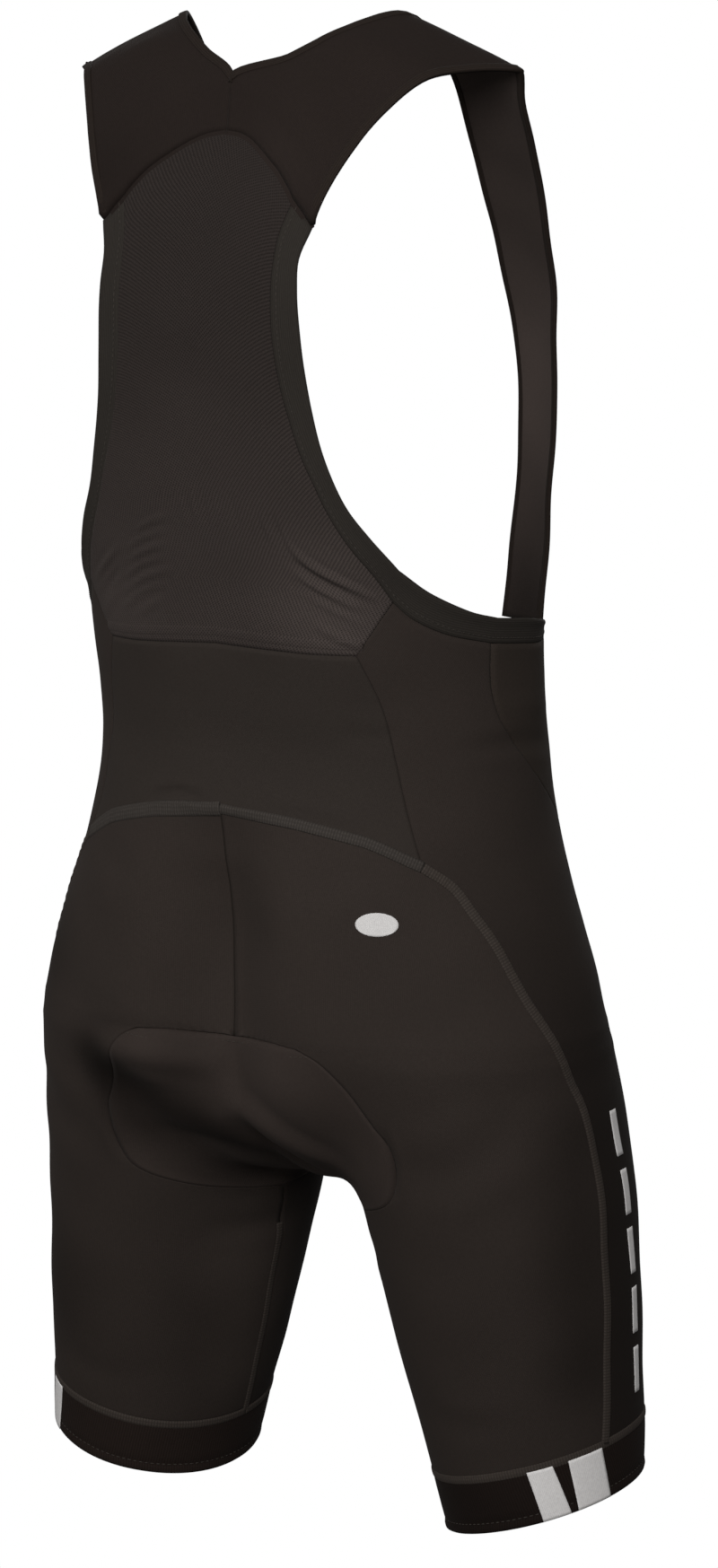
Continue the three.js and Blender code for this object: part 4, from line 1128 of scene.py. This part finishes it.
class StitchRun:
    """A run of separate stitches along a line, each a small rounded thread."""

    def __init__(self, room: Workroom, pitch: float = 3.4, length: float = 2.3, thread: float = 0.5) -> None:
        """Keep the sizes of the stitches, in millimetres."""
        self.room = room
        self.pitch = pitch
        self.length = length
        self.thread = thread

    def make(self, name: str, line: Array, lift: float = 0.1) -> bpy.types.Object:
        """Sew one run.

        Args:
            name: Name of the piece.
            line: Points that the run follows.
            lift: Height of the threads over the cloth.

        Returns:
            The object that holds the stitches.
        """
        run = run_of(line)
        count = max(int(run[-1] / self.pitch), 2)
        spots = spaced(line, run, (np.arange(count) + 0.5) / count)
        normal = self.room.form.outward(spots)
        spots = spots + unit(normal) * (self.room.relief.height(spots) + lift)[:, None]
        way = unit(np.gradient(spots, axis=0))
        bm = bmesh.new()
        bm.loops.layers.uv.new("cut")
        for spot, ahead, up in zip(to_row_frame(spots), way, unit(normal)):
            side = unit(np.cross(up, ahead))
            up = np.cross(ahead, side)
            turn = Matrix([[side[k], up[k], ahead[k]] for k in range(3)]).to_4x4()
            size = Matrix.Diagonal((self.thread * MM / 2, self.thread * MM / 2, self.length * MM / 2, 1))
            place = Matrix.Translation(spot) @ turn @ size
            bmesh.ops.create_uvsphere(bm, u_segments=6, v_segments=4, radius=1.0, matrix=place, calc_uvs=True)
        for face in bm.faces:
            face.smooth = True
        mesh = bpy.data.meshes.new(name)
        bm.to_mesh(mesh)
        bm.free()
        mesh.materials.append(self.room.wardrobe.thread.material())
        made = bpy.data.objects.new(name, mesh)
        bpy.context.scene.collection.objects.link(made)
        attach(made, "root")
        return made


# Sub-assemblies


@dataclass
class BackPanels:
    """Open mesh between the armhole bands, and the waist piece under it."""

    room: Workroom
    wall: float = 1.2
    stretch: float = 1.12

    def build(self) -> None:
        """Make the mesh and the waist piece with the seam between them."""
        cut, wear = self.room.cut, self.room.wardrobe
        side = chain(cut.seam(cut.band_back, 26), cut.seam(cut.mesh_corner, 4))
        centre = cut.centre(cut.yoke_arch[0][2], cut.mesh_foot[0][2], 1, 30)
        foot = cut.across(cut.mesh_foot)
        mesh = self.room.halves(cut.fill(cut.across(cut.yoke_arch), foot, centre, side))
        back = self.room.panel("mesh_back", mesh, wear.mesh, "f", self.wall)
        centre = cut.centre(cut.mesh_foot[0][2], cut.waist[0][2], 1, 8)
        lower = self.room.halves(cut.fill(foot, cut.across(cut.waist), centre, cut.seam(cut.waist_side, 8)))
        waist = self.room.panel("waist_back", lower, wear.lower, "tfnr", self.wall)
        hem = self.room.strip("mesh_hem", mesh[-4], 6.5, 0.5, wear.mesh)
        back.declare(self.stretch, (hem,))
        waist.declare(self.stretch)
        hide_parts("back_mesh")
        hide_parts("lower_back")


@dataclass
class SeatAndSides:
    """Seat pieces that run down the back of the legs, and the sides that run down their front."""

    room: Workroom
    wall: float = 1.4
    stretch: float = 1.15
    band: float = 6.5
    band_rise: float = 1.1
    waist_band: tuple[float, float] = (9.5, 7.0)

    def build(self) -> None:
        """Make both seat pieces, both sides and the raised seams between them."""
        cut, wear, form = self.room.cut, self.room.wardrobe, self.room.form
        side = cut.side_seam()
        inseam = cut.inseam()
        rear = cut.centre(*cut.back_centre, 1, 10)
        middle = chain(rear, cut.seam(cut.pad_rear, 5), cut.seam(cut.pad_side, 11), inseam)
        end = math.radians(cut.side_end)
        seat = cut.fill(cut.across(cut.waist), cut.hem(0.0, end), middle, side)
        near = chain(cut.seam(cut.mesh_corner, 2), cut.seam(cut.waist_side, 8), side)
        turn = np.array([2 * math.pi, 0.0])
        far = chain(
            cut.seam(cut.bib_side, 7, True),
            cut.seam(cut.bib_foot, 14, True),
            cut.centre(*cut.front_centre, -1, 5),
            cut.seam(cut.pad_front, 5, True)[::-1],
            cut.seam(cut.pad_front_side, 5, True)[::-1],
            inseam + turn * (inseam[:1, :1] < math.radians(100)),
        )
        flank = cut.fill(cut.across(cut.band_under, True), cut.hem(end, 2 * math.pi), near, far)
        waist = form.on_cloth(cut.across(cut.waist))
        fold = form.on_cloth(rear)
        spine = self.room.strip("seat_centre_seam", fold, 1.4, 0.4, wear.seam_line)
        for hand, flip, waist_band in (("left", 1, self.waist_band[0]), ("right", -1, self.waist_band[1])):
            way = np.array([flip, 1.0, 1.0])
            line, within = form.on_cloth(side) * way, form.on_cloth(inseam[6:]) * way
            over = self.room.strip(f"side_overseam_{hand}", line, self.band, self.band_rise, wear.side_seam)
            inner = self.room.strip(f"inner_overseam_{hand}", within, 5.5, 0.8, wear.side_seam)
            top = self.room.strip(f"waist_overseam_{hand}", waist * way, waist_band, 1.2, wear.overseam)
            back = self.room.panel(f"seat_cloth_{hand}", seat * way, wear.main, "tfr", self.wall)
            front = self.room.panel(f"side_cloth_{hand}", flank * way, wear.side, "tfnr", self.wall)
            back.declare(self.stretch, (over, inner, top, spine) if flip > 0 else (over, inner, top))
            front.declare(self.stretch)
            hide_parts(f"seat_{hand}")
            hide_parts(f"side_{hand}")


@dataclass
class FrontBib:
    """Low bib in front, between the strap feet."""

    room: Workroom
    wall: float = 1.3
    stretch: float = 1.12

    def build(self) -> None:
        """Make the bib and the turned edge of its neck."""
        cut, wear, form = self.room.cut, self.room.wardrobe, self.room.form
        rims = ((cut.band_front, 4), (cut.strap_foot, 6), (cut.bib_neck, 4))
        top = chain(*[cut.seam(keys, steps, True) for keys, steps in rims])
        centre = cut.centre(cut.bib_neck[-1][2], cut.bib_foot[-1][2], -1, 7)
        foot = cut.seam(cut.bib_foot, 14, True)
        half = cut.fill(top[::-1], foot[::-1], centre, cut.seam(cut.bib_side, 7, True))
        bib = self.room.panel("bib_cloth", self.room.halves(half), wear.bib, "tfnr", self.wall)
        neck = form.on_cloth(cut.seam(cut.bib_neck, 6, True))
        rim = chain(neck, mirrored(neck[::-1])) - [0, 0, 3.5]
        edge = self.room.strip("bib_neck_edge", rim, 6.0, 0.8, wear.binding)
        bib.declare(self.stretch, (edge,))
        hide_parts("front_bib")


@dataclass
class ArmholeBands:
    """Turned bands round the armholes."""

    room: Workroom
    wall: float = 1.6
    stretch: float = 1.1
    # Rolled outer edge and the dip at the inner one, in millimetres and shares of the width
    roll: float = 0.7
    roll_at: float = 0.86
    roll_spread: float = 0.16
    dip: float = 0.15
    dip_spread: float = 0.12

    def build(self) -> None:
        """Make both bands with a rolled outer edge and a stitched inner one."""
        cut, wear = self.room.cut, self.room.wardrobe
        near, far = (
            chain(cut.seam(back, 14), cut.seam(under, 8, True), cut.seam(front, 5, True))
            for back, under, front in (
                (cut.band_back, cut.band_under, cut.band_front),
                (cut.armhole_back, cut.armhole_under, cut.armhole_front),
            )
        )
        s = np.linspace(0, 1, 10)[None, :, None]
        grid = cut.form.on_cloth(near[:, None] * (1 - s) + far[:, None] * s)
        part = s[..., 0]
        lift = self.roll * np.exp(-(((part - self.roll_at) / self.roll_spread) ** 2))
        lift = lift - self.dip * np.exp(-((part / self.dip_spread) ** 2))
        for hand, flip in (("left", 1), ("right", -1)):
            way = np.array([flip, 1.0, 1.0])
            points, outer = self.room.lay(grid * way, lift)
            band = Piece(f"armhole_edge_{hand}", points, outer, wear.binding).make(self.wall)
            band.declare(self.stretch)
            StitchRun(self.room).make(f"armhole_stitch_{hand}", grid[:, 2] * way)
            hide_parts(f"armhole_band_{hand}")


@dataclass
class SeatPad:
    """Cover over the seat pad, which bulges in two lobes with a channel between them."""

    room: Workroom
    wall: float = 6.0
    swell: float = 3.2
    channel: float = 1.6
    channel_spread: float = 0.1
    lobe_end: float = 0.8
    crotch_height: float = -575.0

    def grid(self) -> Array:
        """Half of the pad, from its rear edge under the crotch to its front edge."""
        cut, form = self.room.cut, self.room.form
        edge = form.on_cloth(chain(cut.seam(cut.pad_side, 11), cut.seam(cut.pad_front_side, 5, True)))
        rear = form.on_cloth(cut.seam(cut.pad_rear, 6))
        fore = form.on_cloth(cut.seam(cut.pad_front, 6, True)[::-1])
        share = even(len(edge) - 1)

        def angle(p: Array) -> Array:
            """Angle round the crotch, falling from the rear to the front."""
            turn = np.arctan2(p[..., 2] - self.crotch_height, p[..., 1])
            return np.where(turn > 1.6, turn - 2 * np.pi, turn)

        first = angle(rear[0]) - angle(edge[0])
        last = angle(fore[0]) - angle(edge[-1])
        turn = angle(edge) + first * (1 - share) + last * share
        way = np.stack([0 * turn, np.cos(turn), np.sin(turn)], axis=-1)
        near = form.meet(np.array([0.0, 0.0, self.crotch_height]), way)
        s = even(len(rear) - 1)[None, :, None]
        bow = s * s * (1.6 - 0.6 * s)
        weight = np.concatenate([s, bow, bow], axis=2)
        grid = form.settle(near[:, None] * (1 - weight) + edge[:, None] * weight, 10)
        grid[0], grid[-1] = rear, fore
        grid[:, -1] = edge
        grid[1:-1, 0] = near[1:-1]
        return grid

    def build(self) -> None:
        """Make the pad and the stitching along its rear seam."""
        wear = self.room.wardrobe
        half = self.grid()
        t = even(len(half) - 1)[:, None]
        s = even(half.shape[1] - 1)[None]
        along = np.sin(np.pi * np.minimum(1, t / self.lobe_end)) ** 0.7 * (t < self.lobe_end)
        lobe = np.where(s < 0.5, np.sin(np.pi * s) ** 0.8, np.sin(np.pi * s) ** 2)
        middle = np.exp(-((s / self.channel_spread) ** 2))
        lift = self.swell * along * lobe - self.channel * middle * along
        lift = lift + self.room.tuck(half, "tf", 0.9, 2.4)
        whole = self.room.halves(half)
        points, outer = self.room.lay(whole, np.concatenate([lift[:, :0:-1], lift], axis=1))
        pad = Piece("pad_cover", points, outer, wear.pad).make(self.wall)
        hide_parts("seat_pad")
        StitchRun(self.room).make("pad_stitch", whole[2])


@dataclass
class Straps:
    """Broad straps that join at the centre of the yoke, with narrow turned edges."""

    room: Workroom
    steps: int = 130
    wall: float = 1.5
    edge_width: float = 4.5
    edge_wall: float = 2.6
    neck_sag: Rows = ((0, 0), (10, 3.5), (22, 6.8), (37, 6.2), (55, 2.5), (75, 0))
    corner_tuck: float = 1.4
    stretch: float = 1.1
    centre_snap: float = 0.3
    # Shares of a strap's length, counted back from the yoke seam or along from the bib
    tuck_run: float = 0.07
    bow_run: float = 0.28
    sag_from: float = 0.74
    sag_run: float = 0.04
    # Rounded section of the turned edge, and how far its last rows sink in
    edge_rise: float = 0.55
    edge_fall: float = 0.35
    edge_middle: float = 2.2
    edge_half: float = 2.8
    edge_sink: float = 1.2
    sink_rows: int = 7

    def settled(self, half: Array, sags: bool) -> Array:
        """A half of the yoke with its arm corner tucked in and, where it sags, its neck edge lower."""
        t, part = even(self.steps), np.linspace(0, 1, half.shape[1])
        tuck = self.corner_tuck * np.clip((t - 1) / self.tuck_run + 1, 0, 1) ** 1.5
        inwards = unit(half[:, -6] - half[:, -1])[:, None]
        half = half + inwards * (tuck[:, None] * part**8)[..., None]
        if not sags:
            return half
        out, drop = np.array(self.neck_sag, float).T
        sag = np.interp(half[:, 0, 0], out, drop) * np.clip((t - self.sag_from) / self.sag_run, 0, 1)
        down = unit(half[:, half.shape[1] // 2] - half[:, 0])[:, None]
        return half + down * (sag[:, None] * (1 - part) ** 2)[..., None]

    def grid(self) -> Array:
        """Points of one strap, from the bib over the shoulder to the yoke seam."""
        cut, form = self.room.cut, self.room.form
        line = smooth_line(np.array(cut.strap), 12)
        stations = spaced(line, run_of(line), even(self.steps))
        near, far = stations[:, :3].copy(), stations[:, 3:].copy()
        arch = form.on_cloth(chain(cut.seam(cut.yoke_arch, 8), cut.seam(cut.yoke_arch_end, 2)))
        near[-1], far[-1] = arch[0], arch[-1]
        part = (run_of(arch) / run_of(arch)[-1])[None, :, None]
        bow = arch - (near[-1] * (1 - part[0]) + far[-1] * part[0])
        t = even(self.steps)[:, None, None]
        grid = near[:, None] * (1 - part) + far[:, None] * part
        grid = grid + bow[None] * np.maximum(0, (t - 1) / self.bow_run + 1) ** 1.5
        ridge = 1 - 0.6 * np.exp(-(((t - cut.strap_ridge) / 0.07) ** 2))
        joined = np.clip((t - cut.strap_join) / 0.1, 0, 1)
        profile = 4 * part * (1 - part) * (1 - joined) + 6.75 * part**2 * (1 - part) * joined
        crown = cut.strap_crown * ridge * profile
        crown = crown * np.minimum(1, (1 - t) * 5) * np.minimum(1, 0.4 + t * 6)
        grid = grid + self.facing(grid) * crown
        one, two = grid[:, 1, :1] ** 2, grid[:, 2, :1] ** 2
        level = (grid[:, 1, 1:] * two - grid[:, 2, 1:] * one) / (two - one)
        share = np.clip((t[:, 0] - cut.strap_join - 0.06) / 0.06, 0, 1)
        share = share * np.clip((1 - t[:, 0]) / 0.03, 0, 1)
        grid[:, 0, 1:] = grid[:, 0, 1:] * (1 - share) + level * share
        return grid

    @staticmethod
    def facing(grid: Array) -> Array:
        """Outward direction of a strap, which faces forward at its foot."""
        normals = unit(np.cross(np.gradient(grid, axis=0), np.gradient(grid, axis=1)))
        return normals if normals[0, 3, 1] < 0 else -normals

    def build(self) -> None:
        """Make both straps with their turned edges and the seam over the mesh."""
        wear, cut, form = self.room.wardrobe, self.room.cut, self.room.form
        shape = self.grid()
        open_rows = int(np.argmax(shape[:, 0, 0] < self.centre_snap)) + 1
        arch = form.on_cloth(chain(cut.seam(cut.yoke_arch, 8), cut.seam(cut.yoke_arch_end, 2)))
        for hand, flip in (("left", 1), ("right", -1)):
            way = np.array([flip, 1.0, 1.0])
            half = self.settled(shape, hand == "right")
            grid = half * way
            outer = self.facing(half) * way
            points = grid + outer * self.room.relief.height(grid)[..., None]
            points[..., 0] = np.where(np.abs(points[..., 0]) < self.centre_snap, 0.0, points[..., 0])
            # Its inner face wears the paler inside finish, which is painted light
            strap = Piece(f"strap_cloth_{hand}", points, outer, wear.yoke, wear.painted_light_inside).make(self.wall)
            neck = self.edge(points, outer, 0, open_rows)
            arm = self.edge(points, outer, -1, self.steps + 1)
            trims = (
                Piece(f"neck_edge_{hand}", *neck, wear.edging).make(self.edge_wall, -0.8),
                Piece(f"arm_edge_{hand}", *arm, wear.edging).make(self.edge_wall, -0.8),
                self.room.strip(f"yoke_seam_{hand}", arch * way, 7.0, 0.35, wear.yoke, point=9.0),
            )
            strap.declare(self.stretch, trims)
            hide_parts(f"strap_{hand}")

    def edge(self, points: Array, outer: Array, at: int, rows: int) -> tuple[Array, Array]:
        """Grid of a turned edge that wraps one side of a strap.

        Args:
            points: Grid of the strap.
            outer: Outward direction at each point.
            at: Column of the rim: 0 at the neck, -1 at the arm.
            rows: How many rows of the strap have the edge.

        Returns:
            The grid of the edge and its outward directions.
        """
        rim, up = points[:rows, at], outer[:rows, at]
        line = chain(rim, mirrored(rim[::-1])) if at == 0 else rim
        way = unit(np.gradient(line, axis=0))[:rows]
        inwards = unit(np.cross(up, way))
        towards = points[:rows, 4 if at == 0 else -5] - rim
        inwards = inwards * np.sign((inwards * towards).sum())
        s = np.linspace(-0.5, self.edge_width, 7)
        lift = self.edge_rise - self.edge_fall * (np.abs(s - self.edge_middle) / self.edge_half) ** 3
        late = (np.arange(rows) - self.steps + self.sink_rows) / self.sink_rows
        sink = self.edge_sink * np.clip(late, 0, 1)[:, None]
        grid = rim[:, None] + inwards[:, None] * s[None, :, None]
        grid = grid + up[:, None] * (lift[None] - sink)[..., None]
        return grid, np.repeat(up[:, None], len(s), axis=1)


@dataclass
class LegBands:
    """Grippers round the thighs, with their top seam, light blocks and edge stitching."""

    room: Workroom
    wall: float = 1.7
    stretch: float = 1.05
    turns: int = 180
    # Drop below the band's upper edge, and height over the form
    profile: Rows = (
        (0, -0.2),
        (1.5, 0.1),
        (4, 0.2),
        (8, 0.3),
        (14, 0.3),
        (20, 0.3),
        (24.5, 0.2),
        (25.6, -0.25),
        (27, 0.3),
        (29.5, 0.6),
        (31, 0.2),
    )
    # Angles of a block's two upper and two lower corners, in degrees round the leg
    blocks: Rows = ((119, 132, 124, 139), (140, 159, 143, 163))

    def build(self) -> None:
        """Make the band, the top seam, the blocks and the stitching of both legs."""
        cut, wear, form = self.room.cut, self.room.wardrobe, self.room.form
        turn = np.linspace(0, 2 * np.pi, self.turns + 1)
        drops, lifts = np.array(self.profile).T
        level = cut.hem_top(turn)[None] - drops[:, None]
        places = np.stack([np.broadcast_to(turn, level.shape), level], axis=-1)
        grid = form.on_cloth(places)
        for hand, flip in (("left", 1), ("right", -1)):
            way = np.array([flip, 1.0, 1.0])
            points, outer = self.room.lay(grid * way, lifts[:, None])
            points[:, -1] = points[:, 0]
            band = Piece(f"leg_band_{hand}", points, outer, wear.gripper).make(self.wall, ring=True)
            seam = self.room.strip(f"band_overseam_{hand}", grid[0] * way, 5.5, 0.9, wear.side_seam)
            blocks = tuple(
                Piece(f"band_block_{hand}_{k + 1}", *self.block(corners, way), wear.light_print).make(0.25)
                for k, corners in enumerate(self.blocks)
            )
            band.declare(self.stretch, (seam, *blocks))
            StitchRun(self.room).make(f"band_stitch_{hand}", grid[7] * way, 0.0)
            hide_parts(f"hem_band_{hand}")

    def block(self, corners: tuple[float, ...], way: Array) -> tuple[Array, Array]:
        """Grid of one light block between the angles of its four corners, which leans along the band."""
        cut = self.room.cut
        s, t = np.meshgrid(even(14), even(16))
        top = corners[0] * (1 - s) + corners[1] * s
        foot = corners[2] * (1 - s) + corners[3] * s
        turn = np.radians(top * (1 - t) + foot * t)
        z = cut.hem_top(turn) - 0.8 - t * (cut.hem_band - 1.0)
        grid = cut.form.on_cloth(np.stack([turn, z], axis=-1)) * way
        return self.room.lay(grid, 0.75)


@dataclass
class PlainMarks:
    """Plain light marks: an oval tab on the seat and a row of short bars down the outer thigh."""

    room: Workroom
    tab_at: tuple[float, float, float] = (-99, 90, -495)
    tab_size: tuple[float, float] = (12.0, 6.5)
    bar_turn: float = 192.0
    bar_width: float = 8.0
    thigh_radius: float = 76.0
    bar_rows: Rows = ((-608, -634), (-642, -668), (-676, -702), (-710, -736), (-744, -770))

    def build(self) -> None:
        """Make the tab and the bars."""
        wear, form = self.room.wardrobe, self.room.form
        u, v = np.meshgrid(np.linspace(-1, 1, 17), np.linspace(-1, 1, 13))
        x, y = u * np.sqrt(1 - v * v / 2), v * np.sqrt(1 - u * u / 2)
        middle = np.array(self.tab_at, float)
        up = form.outward(middle)
        side = unit(np.cross(up, [0.0, 0.0, 1.0]))
        high = np.cross(side, up)
        grid = middle + side * (x * self.tab_size[0])[..., None] + high * (y * self.tab_size[1])[..., None]
        points, outer = self.room.lay(form.settle(grid, 5), 0.45)
        Piece("seat_tab", points, outer, wear.light_print).make(0.4)
        for k, (top, foot) in enumerate(self.bar_rows):
            s, t = np.meshgrid(np.linspace(-0.5, 0.5, 7), even(12))
            z = top + (foot - top) * t
            turn = math.radians(self.bar_turn) + s * self.bar_width / self.thigh_radius
            grid = form.on_cloth(np.stack([turn, z], axis=-1)) * np.array([-1.0, 1.0, 1.0])
            points, outer = self.room.lay(grid, 0.35)
            Piece(f"thigh_bar_{k + 1}", points, outer, wear.light_print).make(0.3)


# Studio


@dataclass
class Studio:
    """Camera, lights and pale surroundings."""

    eye: tuple[float, float, float] = (-1.7380, 2.4178, 0.0)
    look: tuple[float, float, float] = (0.5680, -0.8105, -0.1438)
    lens: float = 121.99
    floor_height: float = -1.42
    floor_radius: float = 7.0
    sky: tuple[float, float, float] = (0.22, 0.18, 0.03)
    lamps: tuple[tuple[str, tuple[float, float, float], float, float], ...] = (
        ("key", (-1.3, 2.65, 1.0), 1.4, 52.0),
        ("left_back", (1.4, 2.6, 0.5), 1.4, 8.0),
        ("left_rim", (2.6, 0.9, 0.4), 1.2, 3.0),
        ("front_fill", (0.9, -2.6, 0.7), 1.8, 22.0),
    )

    def camera(self) -> None:
        """Set the camera at the picture's viewing angle."""
        data = bpy.data.cameras.new("camera")
        data.sensor_width = 36.0
        data.lens = self.lens
        data.clip_start, data.clip_end = 0.1, 100.0
        cam = bpy.data.objects.new("camera", data)
        cam.location = self.eye
        cam.rotation_euler = Vector(self.look).to_track_quat("-Z", "Y").to_euler()
        bpy.context.scene.collection.objects.link(cam)
        bpy.context.scene.camera = cam

    def surroundings(self) -> None:
        """A white room that is brighter above than below."""
        world = bpy.data.worlds.new("room")
        world.use_nodes = True
        bpy.context.scene.world = world
        nodes = Nodes(world.node_tree)
        way = nodes.add("TexCoord").outputs["Generated"]
        height = nodes.add("SeparateXYZ", {0: way}).outputs[2]
        share = nodes.add("MapRange", {0: height, 1: -1.0, 2: 1.0, 3: 0.0, 4: 1.0}).outputs[0]
        ramp = nodes.add("ValToRGB", {0: share})
        high, middle, low = self.sky
        ramp.color_ramp.elements[0].color = (low, low, low, 1)
        ramp.color_ramp.elements[1].color = (high, high, high, 1)
        between = ramp.color_ramp.elements.new(0.5)
        between.color = (middle, middle, middle, 1)
        soft = nodes.add("Background", {"Color": ramp.outputs[0], "Strength": 1.0}).outputs[0]
        white = nodes.add("Background", {"Color": (1, 1, 1, 1), "Strength": 1.0}).outputs[0]
        seen = nodes.add("LightPath").outputs["Is Camera Ray"]
        mixed = nodes.add("MixShader", {0: seen, 1: soft, 2: white}).outputs[0]
        nodes.add("OutputWorld", {"Surface": mixed})

    def floor(self) -> None:
        """A pale floor that goes over into the white of the room."""
        bm = bmesh.new()
        bmesh.ops.create_circle(bm, cap_ends=True, segments=96, radius=self.floor_radius)
        bmesh.ops.translate(bm, verts=bm.verts, vec=(0, 0, self.floor_height))
        mesh = bpy.data.meshes.new("floor")
        bm.to_mesh(mesh)
        bm.free()
        made = bpy.data.materials.new("pale_floor")
        made.use_nodes = True
        nodes = Nodes(made.node_tree)
        place = nodes.add("TexCoord").outputs["Object"]
        flat = nodes.add("VectorMath", {0: place, 1: (1, 1, 0)}, operation="MULTIPLY").outputs[0]
        away = nodes.add("VectorMath", {0: flat}, operation="LENGTH").outputs["Value"]
        share = nodes.add("MapRange", {0: away, 1: 0.9, 2: 1.6, 3: 0.0, 4: 1.0}).outputs[0]
        matt = nodes.add("BsdfDiffuse", {"Color": linear("#f2f1ef")}).outputs[0]
        glow = nodes.add("Emission", {"Color": (1, 1, 1, 1), "Strength": 1.0}).outputs[0]
        mixed = nodes.add("MixShader", {0: share, 1: matt, 2: glow}).outputs[0]
        nodes.add("OutputMaterial", {"Surface": mixed})
        mesh.materials.append(made)
        floor = bpy.data.objects.new("floor", mesh)
        floor.visible_diffuse = False
        floor.visible_glossy = False
        bpy.context.scene.collection.objects.link(floor)

    def lamp(self, name: str, place: tuple[float, float, float], size: float, power: float) -> None:
        """One soft square light that faces the garment's middle."""
        data = bpy.data.lights.new(name, "AREA")
        data.shape = "SQUARE"
        data.size = size
        data.energy = power
        lamp = bpy.data.objects.new(name, data)
        lamp.location = place
        lamp.rotation_euler = (Vector((0, 0, -0.45)) - Vector(place)).to_track_quat("-Z", "Y").to_euler()
        bpy.context.scene.collection.objects.link(lamp)

    def build(self) -> None:
        """Set up the whole studio."""
        self.camera()
        self.surroundings()
        self.floor()
        for lamp in self.lamps:
            self.lamp(*lamp)
        bpy.context.scene.view_settings.view_transform = "Standard"
        bpy.context.scene.view_settings.look = "None"


def write_sizes() -> None:
    """Bring the view layer up to date."""
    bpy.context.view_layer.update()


def main() -> None:
    """Build the garment and the studio."""
    logging.basicConfig(level=logging.INFO, format="%(message)s")
    room = Workroom()
    for seam in (room.cut.waist, room.cut.side_upper, room.cut.pad_rear):
        line = smooth_line(np.array(seam, float), 8)
        room.relief.puckers.append(Pucker(line))
        room.relief.puckers.append(Pucker(mirrored(line)))
    for part in (BackPanels, SeatAndSides, FrontBib, ArmholeBands, SeatPad, Straps, LegBands, PlainMarks):
        LOG.info("building %s", part.__name__)
        part(room).build()
    Studio().build()
    write_sizes()


if __name__ == "__main__":
    main()
